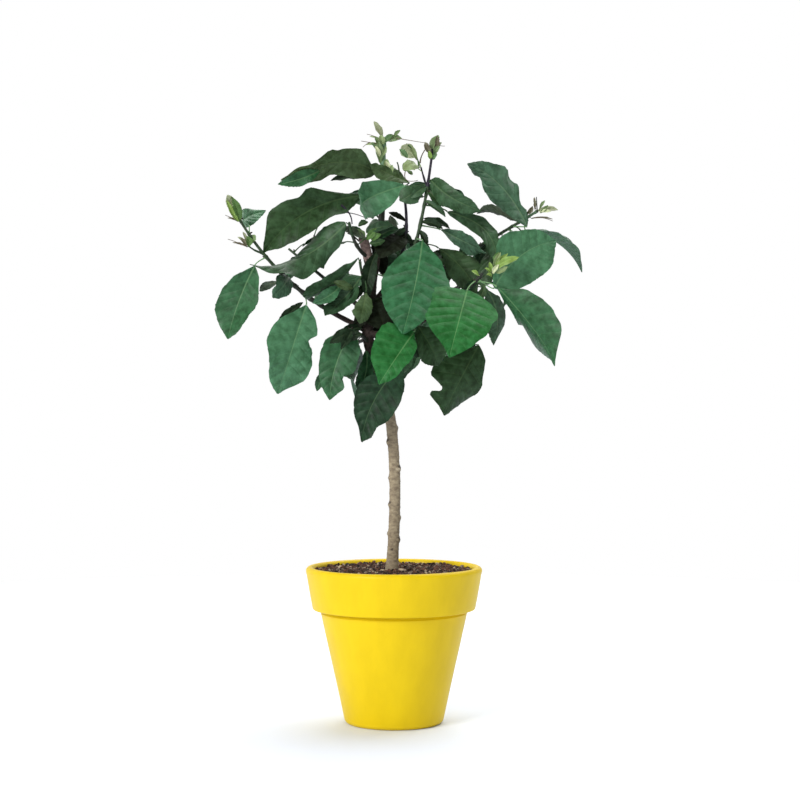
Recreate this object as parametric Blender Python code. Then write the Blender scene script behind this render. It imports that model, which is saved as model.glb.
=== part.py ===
"""Potted dwarf plum tree: a yellow plastic pot, its potting mix, and a small standard tree.

Every size below is in millimetres. The origin is the centre of the pot's flat underside, +Z is up,
and the side that the photograph shows faces -Y.
"""

import math
import random
from dataclasses import dataclass

import bmesh
import bpy
from mathutils import Matrix, Vector
from mathutils.bvhtree import BVHTree

MM = 0.001
GAP = 0.3
SEED = 41

# Pot, turned about the Z axis
POT_HEIGHT = 177.0
POT_SIDES = 48
RIM_RADIUS = 100.0
RIM_WALL = 9.0
COLLAR_FOOT_RADIUS = 92.5
COLLAR_HEIGHT = 48.0
COLLAR_EDGE = 1.5
BODY_TOP_RADIUS = 84.2
BODY_FOOT_RADIUS = 55.3
FOOT_ROUNDING = 6.0
BODY_WALL = 4.0
FLOOR_THICK = 4.0

# Potting mix
MIX_TOP = 172.6
MIX_EDGE_DROP = 1.0
MIX_ROUGHNESS = 0.9
MIX_FLAT_RADIUS = 15.0

# Trunk: its lean to the side at each height, as pairs of height and offset
TRUNK_FOOT = MIX_TOP + GAP
TRUNK_TOP = 551.0
TRUNK_LEAN = (
    (TRUNK_FOOT, -2), (252, 1), (298, 0), (337, -3), (368, -9), (398, -19), (423, -27),
    (448, -30), (480, -27), (508, -26), (534, -31), (TRUNK_TOP, -35),
)
TRUNK_RADIUS = 6.3
TRUNK_TOP_RADIUS = 5.6
FORK_HEIGHT = 462.0
FORK_SWELL = 0.9
FORK_SPREAD = 34.0
FLARE = 2.2
FLARE_HEIGHT = 9.0
TRUNK_SIDES = 10
TRUNK_RING_STEP = 8.0
SCARS_RIGHT = (207, 232, 288, 334)
SCARS_LEFT = (214, 247, 277, 318)
SCAR_RISE = 1.7
SCAR_HALF_HEIGHT = 3.2

# Limbs, twigs and leaf stalks
LIMB_SIDES = 6
LIMB_RINGS = 7
STEM_TIP_RADIUS = 1.5
TWIG_RADIUS = 1.3
STALK_RADIUS = 1.0
STALK_PULL = 0.35
ROOT_DEPTH = 1.2
STALK_TAPER = 0.8
TWIG_SIDES = 4
TWIG_RINGS = 3
SIDE_TWIG_SHARES = (0.5, 0.92)
SIDE_TWIG_LENGTHS = (30.0, 55.0)
SIDE_TWIG_TURNS = 1.3
SIDE_TWIG_DIPS = (-0.8, 0.1)
SIDE_TWIG_ROOM = 2.1
STALK_SHARES = (0.0, 0.55, 1.0)
SHORT_STALK = 5.0

# Leaves
LEAF_THICK_SHARE = 0.016
LEAF_STATIONS = (0.0, 0.16, 0.38, 0.64, 0.86, 1.0)
YOUNG_STATIONS = (0.0, 0.35, 0.75, 1.0)
YOUNG_LENGTH = 34.0
LEAF_LENGTHS = (58.0, 96.0)
LEAF_SLENDERNESS = (0.46, 0.60)
GOLDEN_ANGLE = math.radians(137.5)
CLEARANCE = 0.9
TRIES = 90
TRIES_SHRINK = 0.35
LEAF_TURNS = 1.6
LEAF_DIPS = (-0.5, 1.25)
LEAF_ARCHES = (0.05, 0.16)
LEAF_SWEEPS = (-0.06, 0.06)
LEAF_FOLDS = (0.0, 0.3)
LEAF_TWISTS = (-25.0, 25.0)
LEAF_PEAKS = (0.95, 1.2)
STALK_LENGTHS = (7.0, 22.0)
STALK_TURNS = 0.6
STALK_RISE = 0.5
STEM_BARE_SHARE = 0.06
TWIG_BARE_SHARE = 0.45
DEPTH_SWINGS = (0, -6, 6, -12, 12, -18, 18, -26, 26, -34, 34, -44, 44)

# Where the photograph was taken from, so that leaves grown by rule stay behind those it shows
VIEW_POINT = Vector((6.8, -1989.0, 365.9))
SHOWN_SHARE = 0.06
SHOWN_MARGIN = 1.5
TOWARDS_VIEW = (0.0, -0.8, 0.6)
CROWN_CENTRE = Vector((0.0, 15.0, 470.0))


@dataclass
class Leaf:
    """A leaf that the photograph shows; on is 0 for the stem and 1 and up for a side twig."""

    at: float
    reach: tuple
    wide: float
    on: int = 0
    stalk: tuple = ()
    face: tuple = TOWARDS_VIEW
    roll: float = 0.0
    arch: float = 0.08
    sweep: float = 0.0
    fold: float = 0.12
    twist: float = 0.0
    peak: float = 1.12


@dataclass
class Pose:
    """Where a blade stands and how it is shaped, in millimetres and degrees."""

    base: Vector
    reach: Vector
    wide: float
    face: Vector
    arch: float
    sweep: float
    fold: float
    twist: float
    peak: float


@dataclass
class Limb:
    """A limb from the trunk through knee to tip; its first share is a bough, the rest a stem."""

    name: str
    foot: float
    knee: tuple
    tip: tuple
    radius: float = 2.8
    bough: float = 0.0
    twigs: tuple = ()
    leaves: tuple = ()
    side_twigs: int = 0
    more: int = 0
    bend: float = 0.0
    tip_radius: float = STEM_TIP_RADIUS


UP = (0.0, -0.25, 1.0)
UP_AND_BACK = (0.0, 0.6, 0.8)
BACK = (0.0, 0.9, 0.4)
FRONT = (0.0, -1.0, 0.15)

LIMBS = (
    Limb("left", 446, (-100, -18, 485), (-172, -38, 567), 3.2, 0.42,
         twigs=((0.75, (-19, -6, 11)),),
         leaves=(
             Leaf(0.74, (-30, -3, -82), 50, stalk=(-13, -4, -10), face=FRONT,
                  roll=5, arch=-0.11, sweep=0.06, fold=0.31, twist=20, peak=1.07),
             Leaf(0.44, (-28, -40, -94), 57, stalk=(4, -7, -14), face=FRONT,
                  roll=-10, arch=0.09, sweep=0.01, fold=0.01, twist=-22, peak=1.09),
             Leaf(0.57, (-15, -34, -27), 25, stalk=(2, -3, 3),
                  roll=144, arch=-0.14, sweep=0.03, fold=0.10, twist=-20, peak=1.00),
             Leaf(0.60, (-22, 12, -10), 11, stalk=(-5, -1, -8),
                  roll=104, arch=0.03, sweep=-0.08, fold=-0.08, twist=4, peak=1.17),
             Leaf(0.50, (53, 50, 23), 36, stalk=(21, 16, -17),
                  roll=162, arch=-0.01, sweep=0.27, fold=0.46, twist=26, peak=1.03),
             Leaf(0.90, (14, 73, 26), 21, stalk=(0, 0, 10),
                  roll=64, arch=-0.20, sweep=-0.04, fold=-0.01, twist=-25, peak=1.22),
             Leaf(1.00, (-12, -21, 25), 13, stalk=(0, 0, 1),
                  roll=-2, arch=-0.18, sweep=0.08, fold=0.24, twist=-16, peak=1.14),
             Leaf(0.99, (-12, -2, 4), 3, stalk=(-2, 0, 0)),
             Leaf(0.96, (7, 2, 12), 10, on=1, stalk=(0, 0, 1)),
             Leaf(0.90, (-17, 0, 5), 3, on=1, stalk=(-2, 0, 0)),
             Leaf(1.00, (-10, -2, 9), 4, on=1, stalk=(-1, 0, 1)),
             Leaf(0.97, (-6, 0, 14), 4, on=1, stalk=(0, 0, 2)),
         ), more=3),
    Limb("top_left", 478, (-17, 2, 545), (-13, 14, 663), 3.8, 0.40, tip_radius=3.3,
         leaves=(
             Leaf(0.785, (-103, -63, -19), 39, stalk=(-8, -8, 2), face=BACK,
                  roll=180, arch=0.08, sweep=0.16, fold=0.12, twist=-30, peak=0.85),
             Leaf(0.635, (-112, -30, -68), 54, stalk=(-20, -22, 2), face=UP_AND_BACK,
                  roll=-130, arch=-0.08, sweep=0.12, fold=0.42, twist=31, peak=1.36),
             Leaf(1.00, (-10, -2, 19), 8, stalk=(0, 0, 4)),
             Leaf(0.99, (19, -4, 3), 11, stalk=(3, -1, 1)),
             Leaf(0.97, (-18, -2, 1), 5, stalk=(-2, 0, 0)),
             Leaf(0.985, (-14, 0, 5), 3, stalk=(-1, 0, 3)),
             Leaf(0.95, (-8, 0, 2), 4, stalk=(-1, 0, 1)),
             Leaf(0.80, (0, -2, 11), 7, stalk=(4, -1, 4)),
             Leaf(0.84, (-2, -4, 26), 9, stalk=(-3, -1, 2)),
         ), more=4),
    Limb("top_middle", 474, (13, 9, 552), (9, 6, 611), 2.8, 0.5, bend=0.62,
         leaves=(
             Leaf(0.96, (-41, -62, -42), 43, stalk=(2, -12, 5),
                  roll=-13, arch=-0.21, sweep=0.27, fold=0.32, twist=-54, peak=0.78),
             Leaf(0.98, (-49, -12, 19), 19, stalk=(8, 0, 6),
                  roll=-180, arch=0.03, sweep=-0.03, fold=-0.08, twist=-37, peak=1.08),
             Leaf(0.70, (-32, 65, 16), 27, stalk=(-9, 4, -3),
                  roll=165, arch=-0.10, sweep=0.09, fold=0.33, twist=-4, peak=0.78),
             Leaf(0.60, (-6, 4, 25), 9, stalk=(-11, 4, 4)),
             Leaf(0.66, (-34, -24, -30), 34, stalk=(2, 2, -2), roll=10, fold=0.25),
         ), more=5),
    Limb("top_right", 453, (27, -19, 552), (44, -12, 652), 3.0, 0.56, bend=0.68,
         twigs=((0.86, (-7, -2, 24)),),
         leaves=(
             Leaf(0.66, (-22, -69, -106), 76, stalk=(6, -14, -3), face=FRONT,
                  roll=3, arch=0.01, sweep=-0.02, fold=0.01, twist=2, peak=0.99),
             Leaf(0.88, (57, -13, -36), 28, stalk=(3, -3, 3), face=UP_AND_BACK,
                  roll=-27, arch=-0.16, sweep=-0.02, fold=0.10, twist=2, peak=0.80),
             Leaf(0.80, (54, -16, -60), 23, stalk=(26, 3, -7), face=UP,
                  roll=72, arch=-0.30, sweep=-0.17, fold=0.05, peak=0.86),
             Leaf(0.85, (42, -14, -20), 18, stalk=(3, -2, -3)),
             Leaf(0.72, (51, -30, -30), 30, stalk=(23, 18, -3),
                  roll=-129, arch=0.05, sweep=-0.01, fold=0.02, twist=55, peak=1.42),
             Leaf(0.64, (43, 17, -50), 40, stalk=(26, 22, -3),
                  roll=-136, arch=0.11, sweep=0.05, fold=0.34, twist=7, peak=1.51),
             Leaf(0.88, (-26, -6, -20), 24, stalk=(-6, 6, 0),
                  roll=155, arch=-0.10, sweep=0.07, fold=0.13, twist=4, peak=1.42),
             Leaf(0.86, (26, 12, -20), 23, stalk=(2, 10, 6),
                  roll=-105, arch=-0.2, sweep=0.06, fold=0.11, twist=-50, peak=1.01),
             Leaf(0.97, (8, -2, 23), 12, stalk=(-1, 1, 1)),
             Leaf(0.99, (9, 0, 9), 6, stalk=(1, 0, 0)),
             Leaf(0.98, (-7, -2, 10), 5, stalk=(-1, 0, 0)),
             Leaf(1.00, (-17, -17, 11), 17, on=1, stalk=(-5, 0, 11),
                  roll=121, arch=0.07, sweep=0.02, fold=0.12, twist=-8, peak=1.12),
             Leaf(0.80, (-16, -24, -6), 15, on=1, stalk=(-6, 0, 4),
                  roll=167, arch=-0.30, fold=0.12, twist=-4, peak=1.33),
             Leaf(0.84, (-25, 8, 2), 18, stalk=(-3, 6, -2)),
            Leaf(0.62, (26, 6, 12), 14, stalk=(12, 30, -14)),
            Leaf(0.74, (30, 8, -10), 11, stalk=(3, 4, 3)),
         ), more=4),
    Limb("right", 467, (70, 22, 526), (165, 20, 583), 3.1, 0.62,
         leaves=(
             Leaf(0.85, (-63, 40, 74), 43, stalk=(17, -8, -1),
                  roll=124, arch=-0.01, sweep=-0.10, fold=0.07, twist=-7, peak=1.13),
             Leaf(0.89, (-47, 39, 15), 19, stalk=(1, 7, 1), face=UP,
                  roll=97, arch=-0.03, sweep=-0.09, fold=0.47, twist=-70, peak=1.41),
             Leaf(0.93, (66, 0, -48), 52, stalk=(0, 4, -13), face=UP_AND_BACK,
                  roll=55, arch=0.13, sweep=0.01, fold=0.42, twist=-8, peak=1.58),
             Leaf(0.66, (-20, -32, -70), 21, stalk=(19, -6, 13),
                  roll=8, arch=-0.07, sweep=0.02, fold=-0.08, twist=3, peak=1.33),
             Leaf(1.00, (24, -3, 1), 9, stalk=(0, 0, 1)),
             Leaf(0.99, (-1, 0, 15), 3, stalk=(-1, 0, 2)),
             Leaf(1.00, (6, 0, 10), 4, stalk=(3, 0, 3)),
             Leaf(0.94, (6, 0, 10), 3, stalk=(-1, 0, 2)),
             Leaf(0.95, (25, -2, -1), 2.5, stalk=(2, 0, -2)),
            Leaf(0.70, (-12, 14, -20), 16, stalk=(2, 8, -3)),
         ), more=4),
    Limb("right_low", 440, (60, -48, 470), (106, -62, 516), 3.0, 0.74,
         leaves=(
             Leaf(0.88, (71, 26, 55), 67, stalk=(18, 4, -10), face=FRONT,
                  roll=18, arch=0.04, sweep=-0.12, fold=0.11, twist=-9, peak=0.99),
             Leaf(0.86, (64, -33, -87), 69, stalk=(23, 0, -6), face=FRONT,
                  roll=-126, arch=0.01, sweep=0.03, fold=0.44, twist=12, peak=1.24),
             Leaf(0.80, (-21, -56, -74), 76, stalk=(-3, -16, -4), face=FRONT, peak=0.84),
             Leaf(0.82, (8, 35, -60), 28, stalk=(18, 9, -4),
                  roll=161, arch=-0.07, sweep=0.10, fold=0.46, twist=10, peak=0.86),
             Leaf(1.00, (26, -6, 8), 10, stalk=(4, -2, -3)),
             Leaf(0.99, (4, -4, 14), 7, stalk=(6, 0, 0)),
             Leaf(0.90, (-8, -4, 5), 6, stalk=(-1, -2, 1)),
         ), more=2),
    Limb("low_right", 424, (30, 10, 425), (79, 14, 432), 2.4,
         leaves=(
             Leaf(0.30, (6, -8, 42), 28, stalk=(4, -6, 6)),
             Leaf(1.00, (-41, 5, -80), 65, stalk=(19, -6, -3), face=FRONT,
                  roll=180, arch=-0.13, fold=0.28, twist=-43, peak=1.08),
         ), more=4),
    Limb("front_low", 425, (0, -42, 446), (22, -82, 447), 2.6,
         leaves=(
             Leaf(1.00, (-38, -28, -57), 47, stalk=(1, -8, -7), face=FRONT),
             Leaf(0.92, (24, 14, -43), 40, stalk=(8, 4, -1)),
             Leaf(0.66, (-50, 22, -88), 56, stalk=(6, -2, -41), face=FRONT,
                  roll=-4, arch=-0.09, sweep=0.09, fold=0.10, twist=21, peak=1.08),
             Leaf(0.36, (-12, 12, 30), 40, stalk=(-1, 4, 3)),
         ), more=2),
    Limb("left_low", 430, (-38, -22, 440), (-49, -40, 444), 2.4,
         leaves=(
             Leaf(1.00, (-26, -1, -78), 46, stalk=(2, -3, 0), face=FRONT,
                  roll=-9, arch=0.00, sweep=0.06, fold=0.10, twist=16, peak=0.75),
             Leaf(0.80, (-1, -27, -60), 44, stalk=(4, -1, -15),
                  roll=-33, arch=-0.29, sweep=-0.03, fold=0.23, twist=-75, peak=1.30),
             Leaf(0.98, (-16, 8, -58), 16, stalk=(-14, 12, -4)),
             Leaf(1.00, (-12, 2, -26), 12, stalk=(-27, 22, -42)),
            Leaf(0.70, (-24, -8, -8), 15, stalk=(6, -16, -3)),
         ), more=4),
    Limb("upper_left", 528, (-45, -24, 546), (-50, -32, 565), 2.4,
         leaves=(Leaf(0.90, (-106, -17, -53), 44, stalk=(-4, -5, 4),
                  roll=147, arch=0.12, sweep=0.10, fold=0.49, twist=79, peak=0.82),
                 Leaf(0.45, (-28, -4, 12), 13, stalk=(10, 2, 8))), more=2),
    Limb("inner_left", 498, (-36, -20, 510), (-38, -26, 521), 2.2,
         leaves=(
             Leaf(0.98, (-61, -30, -41), 36, stalk=(-2, -4, 5), face=UP_AND_BACK,
                  roll=-6, arch=0.02, sweep=0.25, fold=0.27, twist=-1, peak=1.12),
             Leaf(0.60, (-41, -6, -42), 31, stalk=(-2, -6, -5), face=UP,
                  roll=-34, arch=-0.23, sweep=0.10, fold=0.50, twist=3, peak=1.11),
             Leaf(0.50, (-7, 15, -35), 24, stalk=(3, -8, -19),
                  roll=178, arch=-0.18, sweep=0.04, fold=0.12, twist=-42, peak=1.06),
         ), more=1),
    Limb("rear_left", 464, (-60, 38, 490), (-125, 85, 545), 3.0, 0.40, side_twigs=3, more=9),
    Limb("rear_middle", 488, (-16, 52, 545), (-12, 100, 614), 3.0, 0.42, side_twigs=3, more=9,
         leaves=(Leaf(0.46, (2, -4, -32), 24, stalk=(8, -4, -2)),)),
    Limb("rear_right", 450, (58, 60, 490), (136, 105, 532), 3.0, 0.42, side_twigs=3, more=9,
         leaves=(Leaf(0.45, (20, -6, 50), 30, stalk=(2, -6, 3)),)),
    Limb("rear_low_left", 436, (-42, 45, 433), (-66, 95, 425), 2.6, 0.36, side_twigs=2, more=7,
         leaves=(Leaf(0.48, (42, -18, 16), 30, stalk=(3, 2, 6)),)),
    Limb("rear_low_right", 414, (18, 55, 428), (50, 112, 446), 2.6, 0.36, side_twigs=2, more=7),
)


def smooth_step(share):
    """Returns an eased share, held between nought and one."""
    share = min(max(share, 0.0), 1.0)
    return share * share * (3.0 - 2.0 * share)


def at_right_angles(vector, axis):
    """Returns the unit part of vector that is square to axis."""
    axis = axis.normalized()
    return (vector - axis * vector.dot(axis)).normalized()


def arc(centre, radius, start, end, steps):
    """Returns the points of a round stretch of a profile, its angles in degrees."""
    angles = (math.radians(start + (end - start) * i / steps) for i in range(steps + 1))
    return [(centre[0] + radius * math.cos(a), centre[1] + radius * math.sin(a)) for a in angles]


def finish(name, points, faces, material, smooth_angle):
    """Makes a closed mesh object from points in millimetres, shaded smooth up to an angle."""
    mesh = bpy.data.meshes.new(name)
    mesh.from_pydata([Vector(p) * MM for p in points], [], faces)
    return place_object(name, mesh, material, smooth_angle)


def place_object(name, mesh, material, smooth_angle):
    """Turns a mesh's faces outwards and puts it in the scene with its material."""
    shell = bmesh.new()
    shell.from_mesh(mesh)
    bmesh.ops.recalc_face_normals(shell, faces=shell.faces)
    shell.to_mesh(mesh)
    shell.free()
    mesh.materials.clear()
    mesh.materials.append(material)
    mesh.shade_smooth()
    mesh.set_sharp_from_angle(angle=math.radians(smooth_angle))
    body = bpy.data.objects.new(name, mesh)
    bpy.context.scene.collection.objects.link(body)
    return body


def paint(name, colour, roughness):
    """Makes a plain material."""
    material = bpy.data.materials.new(name)
    material.use_nodes = True
    shader = material.node_tree.nodes["Principled BSDF"]
    shader.inputs["Base Color"].default_value = (*colour, 1.0)
    shader.inputs["Roughness"].default_value = roughness
    shader.inputs["Metallic"].default_value = 0.0
    return material


def yellow_plastic():
    return paint("yellow_plastic", (0.91, 0.68, 0.02), 0.35)


def dark_compost():
    return paint("dark_compost", (0.07, 0.045, 0.03), 0.95)


def grey_brown_bark():
    return paint("grey_brown_bark", (0.24, 0.19, 0.13), 0.85)


def green_leaf():
    return paint("green_leaf", (0.03, 0.14, 0.05), 0.45)


def turned(profile, sides):
    """Turns a profile of radius and height pairs that starts and ends on the axis."""
    points = [(0.0, 0.0, profile[0][1])]
    for radius, height in profile[1:-1]:
        for side in range(sides):
            angle = 2.0 * math.pi * side / sides
            points.append((radius * math.cos(angle), radius * math.sin(angle), height))
    points.append((0.0, 0.0, profile[-1][1]))
    rings = len(profile) - 2
    top = len(points) - 1
    faces = []
    for side in range(sides):
        after = (side + 1) % sides
        faces.append((0, 1 + after, 1 + side))
        last = 1 + (rings - 1) * sides
        faces.append((top, last + side, last + after))
        for ring in range(rings - 1):
            low = 1 + ring * sides
            high = low + sides
            faces.append((low + side, low + after, high + after, high + side))
    return points, faces


def body_radius(height):
    """Returns the outer radius of the pot's tapering body at a height."""
    share = height / (POT_HEIGHT - COLLAR_HEIGHT)
    return BODY_FOOT_RADIUS + (BODY_TOP_RADIUS - BODY_FOOT_RADIUS) * share


def pot_inside():
    """Returns the inner profile of the pot, from the rim down to the floor."""
    step = POT_HEIGHT - COLLAR_HEIGHT
    return [
        (RIM_RADIUS - RIM_WALL - 0.8, MIX_TOP - 8.0),
        (COLLAR_FOOT_RADIUS - RIM_WALL + 2.0, step + 6.0),
        (body_radius(step) - BODY_WALL, step - 4.0),
        (body_radius(FLOOR_THICK) - BODY_WALL, FLOOR_THICK),
    ]


def make_pot():
    """Makes the pot: a tapering body on a flat underside, under a deep collar with a round rim."""
    step = POT_HEIGHT - COLLAR_HEIGHT
    lean = math.degrees(math.atan2(BODY_TOP_RADIUS - BODY_FOOT_RADIUS, step))
    rim_round = RIM_WALL / 2.0
    profile = [(0.0, 0.0)]
    foot_centre = (body_radius(FOOT_ROUNDING) - FOOT_ROUNDING, FOOT_ROUNDING)
    profile += arc(foot_centre, FOOT_ROUNDING, -90, -lean, 2)
    profile += [(BODY_TOP_RADIUS, step)]
    profile += arc((COLLAR_FOOT_RADIUS - COLLAR_EDGE, step + COLLAR_EDGE), COLLAR_EDGE, -90, -10, 1)
    profile += arc((RIM_RADIUS - rim_round, POT_HEIGHT - rim_round), rim_round, -8, 180, 5)
    profile += pot_inside()
    profile += [(0.0, FLOOR_THICK)]
    points, faces = turned(profile, POT_SIDES)
    return finish("pot", points, faces, yellow_plastic(), 40)


def make_potting_mix():
    """Makes the potting mix, a plug that fills the pot to just under its rim, clear of the wall."""
    draw = random.Random(SEED)
    wall = [(radius - GAP, max(height, FLOOR_THICK + GAP)) for radius, height in pot_inside()]
    rim_fill = (RIM_RADIUS - RIM_WALL - GAP - 0.3, MIX_TOP - MIX_EDGE_DROP)
    top = [(rim_fill[0] * share, MIX_TOP) for share in (0.84, 0.62, 0.40, 0.16)]
    profile = [(0.0, FLOOR_THICK + GAP)] + wall[::-1] + [rim_fill] + top + [(0.0, MIX_TOP)]
    points, faces = turned(profile, POT_SIDES)
    uneven = []
    for x, y, z in points:
        radius = math.hypot(x, y)
        if z == MIX_TOP and radius > MIX_FLAT_RADIUS:
            z += draw.uniform(-1.0, 1.0) * MIX_ROUGHNESS
        uneven.append((x, y, z))
    return finish("potting_mix", uneven, faces, dark_compost(), 80)


def trunk_lean(height):
    """Returns how far the trunk's axis stands to the side at a height, on a smooth curve."""
    stations = TRUNK_LEAN
    index = 0
    while index < len(stations) - 2 and height > stations[index + 1][0]:
        index += 1
    (low, start), (high, end) = stations[index], stations[index + 1]
    before = stations[max(index - 1, 0)]
    after = stations[min(index + 2, len(stations) - 1)]
    slope_in = (end - before[1]) / (high - before[0])
    slope_out = (after[1] - start) / (after[0] - low)
    span = high - low
    t = min(max((height - low) / span, 0.0), 1.0)
    rise = start * (2 * t ** 3 - 3 * t ** 2 + 1) + end * (3 * t ** 2 - 2 * t ** 3)
    return rise + span * (slope_in * (t ** 3 - 2 * t ** 2 + t) + slope_out * (t ** 3 - t ** 2))


def trunk_axis(height):
    """Returns the middle of the trunk at a height."""
    return Vector((trunk_lean(height), 2.0 * math.sin((height - TRUNK_FOOT) / 60.0), height))


def trunk_radius(height, angle):
    """Returns the trunk's radius: a taper, the root flare, the swollen fork and the bud scars."""
    share = (height - TRUNK_FOOT) / (TRUNK_TOP - TRUNK_FOOT)
    radius = TRUNK_RADIUS + (TRUNK_TOP_RADIUS - TRUNK_RADIUS) * share
    radius += FORK_SWELL * math.exp(-(((height - FORK_HEIGHT) / FORK_SPREAD) ** 2))
    towards_left = 0.7 - 0.3 * math.cos(angle)
    radius += FLARE * towards_left * math.exp(-(height - TRUNK_FOOT) / FLARE_HEIGHT)
    for heights, side in ((SCARS_RIGHT, 0.0), (SCARS_LEFT, math.pi)):
        for index, scar in enumerate(heights):
            turn = angle - side + 0.35 * (-1) ** index
            width = math.exp(-(math.sin(turn / 2.0) / 0.3) ** 2)
            radius += SCAR_RISE * width * math.exp(-(((height - scar) / SCAR_HALF_HEIGHT) ** 2))
    return radius


def trunk_shape(grow=0.0):
    """Returns the trunk's points and faces, its skin moved out by grow."""
    count = round((TRUNK_TOP - TRUNK_FOOT) / TRUNK_RING_STEP)
    heights = [TRUNK_FOOT + (TRUNK_TOP - TRUNK_FOOT) * i / count for i in range(count + 1)]
    points = []
    for height in heights:
        middle = trunk_axis(height)
        for side in range(TRUNK_SIDES):
            angle = 2.0 * math.pi * side / TRUNK_SIDES
            radius = trunk_radius(height, angle) + grow
            points.append(middle + Vector((math.cos(angle), math.sin(angle), 0.0)) * radius)
    return points, rings_to_faces(len(heights), TRUNK_SIDES)


def rings_to_faces(rings, sides):
    """Joins rings of points into a tube with a flat face at each end."""
    faces = [tuple(reversed(range(sides)))]
    for ring in range(rings - 1):
        for side in range(sides):
            after = (side + 1) % sides
            low = ring * sides
            faces.append((low + side, low + after, low + sides + after, low + sides + side))
    faces.append(tuple(range((rings - 1) * sides, rings * sides)))
    return faces


def make_trunk():
    points, faces = trunk_shape()
    return finish("trunk", points, faces, grey_brown_bark(), 50)


def tube(curve, start, end, radii, sides, rings):
    """Returns a tapering tube along a curve between two shares of its length."""
    points = []
    side_way = None
    for ring in range(rings):
        share = ring / (rings - 1)
        t = start + (end - start) * share
        along = (curve(t + 0.01) - curve(t - 0.01)).normalized()
        if side_way is None:
            guide = Vector((0, 1, 0)) if abs(along.y) < 0.8 else Vector((1, 0, 0))
            side_way = guide
        side_way = at_right_angles(side_way, along)
        other_way = along.cross(side_way)
        radius = radii[0] + (radii[1] - radii[0]) * share
        for side in range(sides):
            angle = 2.0 * math.pi * side / sides
            offset = side_way * math.cos(angle) + other_way * math.sin(angle)
            points.append(curve(t) + offset * radius)
    return points, rings_to_faces(rings, sides)


def limb_curve(limb):
    """Returns the smooth curve through a limb's foot on the trunk, its knee and its tip."""
    foot, knee, tip = trunk_axis(limb.foot), Vector(limb.knee), Vector(limb.tip)
    first = (knee - foot).length
    bend = limb.bend or first / (first + (tip - knee).length)
    return through(foot, knee, tip, bend)


def through(start, middle, end, bend):
    """Returns the smooth curve that starts, passes the middle at the share bend, and ends."""
    def place(t):
        near = (t - bend) * (t - 1.0) / bend
        half_way = t * (t - 1.0) / (bend * (bend - 1.0))
        far = t * (t - bend) / (1.0 - bend)
        return start * near + middle * half_way + end * far

    return place


def straight(start, end):
    """Returns a straight line between two places as a curve."""
    return lambda t: start + (end - start) * t


def blade_width(t, peak):
    """Returns the half width of a plum leaf at a share of its length, at most one."""
    return math.sin(math.pi * t ** peak) ** 0.8 if 0.0 < t < 1.0 else 0.0


def midrib(pose, t):
    """Returns the place on a leaf's arched midrib at a share of its length."""
    bow = pose.reach.length * 4.0 * t * (1.0 - t)
    across = pose.reach.normalized().cross(pose.face)
    return pose.base + pose.reach * t + pose.face * (pose.arch * bow) + across * (pose.sweep * bow)


def blade_rings(pose, grow=0.0):
    """Returns a blade's sections, each a ridge, an edge, the ridge below and the other edge."""
    length = pose.reach.length
    along = pose.reach.normalized()
    stations = LEAF_STATIONS if length > YOUNG_LENGTH else YOUNG_STATIONS
    half_thick = max(length * LEAF_THICK_SHARE, 0.5) / 2.0 + grow
    rings = []
    for t in stations:
        normal = Matrix.Rotation(math.radians(pose.twist) * smooth_step(t), 3, along) @ pose.face
        across = along.cross(normal)
        middle = midrib(pose, t)
        half = pose.wide / 2.0 * blade_width(t, pose.peak) + grow
        rise = normal * (half * pose.fold)
        rings.append((middle + normal * half_thick, middle + across * half + rise,
                      middle - normal * half_thick, middle - across * half + rise))
    return rings


def skin(first, rings, last):
    """Joins four-point rings, between an end point or flat end and a last point, into a shape."""
    points = [point for ring in rings for point in ring]
    faces = []
    for index in range(len(rings) - 1):
        low = 4 * index
        for ridge in (0, 2):
            for edge in (1, 3):
                faces.append((low + ridge, low + edge, low + 4 + edge))
                faces.append((low + ridge, low + 4 + edge, low + 4 + ridge))
    top = len(points) - 4
    tip = len(points)
    points.append(last)
    faces += [(top + side, top + (side + 1) % 4, tip) for side in range(4)]
    if first is None:
        faces += [(0, 1, 2), (0, 2, 3)]
        return points, faces
    points.append(first)
    faces += [(side, (side + 1) % 4, tip + 1) for side in range(4)]
    return points, faces


def blade(pose, grow=0.0):
    """Returns a leaf blade without its stalk, pointed at both ends."""
    rings = blade_rings(pose, grow)[1:-1]
    return skin(midrib(pose, 0.0), rings, midrib(pose, 1.0))


def stalk_curve(seat, pose):
    """Returns the curve of a leaf stalk, which turns towards the blade's own direction."""
    foot = midrib(pose, 0.0)
    along = pose.reach.normalized()
    stalk = foot - seat
    pull = foot - along * max(stalk.dot(along) * STALK_PULL, 0.0)
    return lambda t: seat * (1.0 - t) ** 2 + pull * (2.0 * t * (1.0 - t)) + foot * t * t


def leaf_shape(seat, pose):
    """Returns a leaf as one closed shape, its stalk rooted at the seat in the stem's middle."""
    curve = stalk_curve(seat, pose)
    along = pose.reach.normalized()
    side_way = along.cross(pose.face)
    stalk = curve(1.0) - seat
    shares = STALK_SHARES if stalk.length > SHORT_STALK else (0.0,)
    rings = []
    for t in reversed(shares):
        before = (curve(t) - curve(t - 0.02)).normalized()
        after = along if t == shares[-1] else (curve(t + 0.02) - curve(t)).normalized()
        way = (before + after).normalized() if stalk.length > SHORT_STALK else along
        side_way = at_right_angles(side_way, way)
        normal = side_way.cross(way)
        radius = STALK_RADIUS * (1.0 + (STALK_TAPER - 1.0) * t)
        middle = curve(t)
        rings.insert(0, (middle + normal * radius, middle + side_way * radius,
                         middle - normal * radius, middle - side_way * radius))
    return skin(None, rings + blade_rings(pose)[1:-1], midrib(pose, 1.0))


def tree_of(shape):
    """Returns a shape as a tree of faces that finds overlaps and rays."""
    return BVHTree.FromPolygons(shape[0], shape[1])


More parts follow.
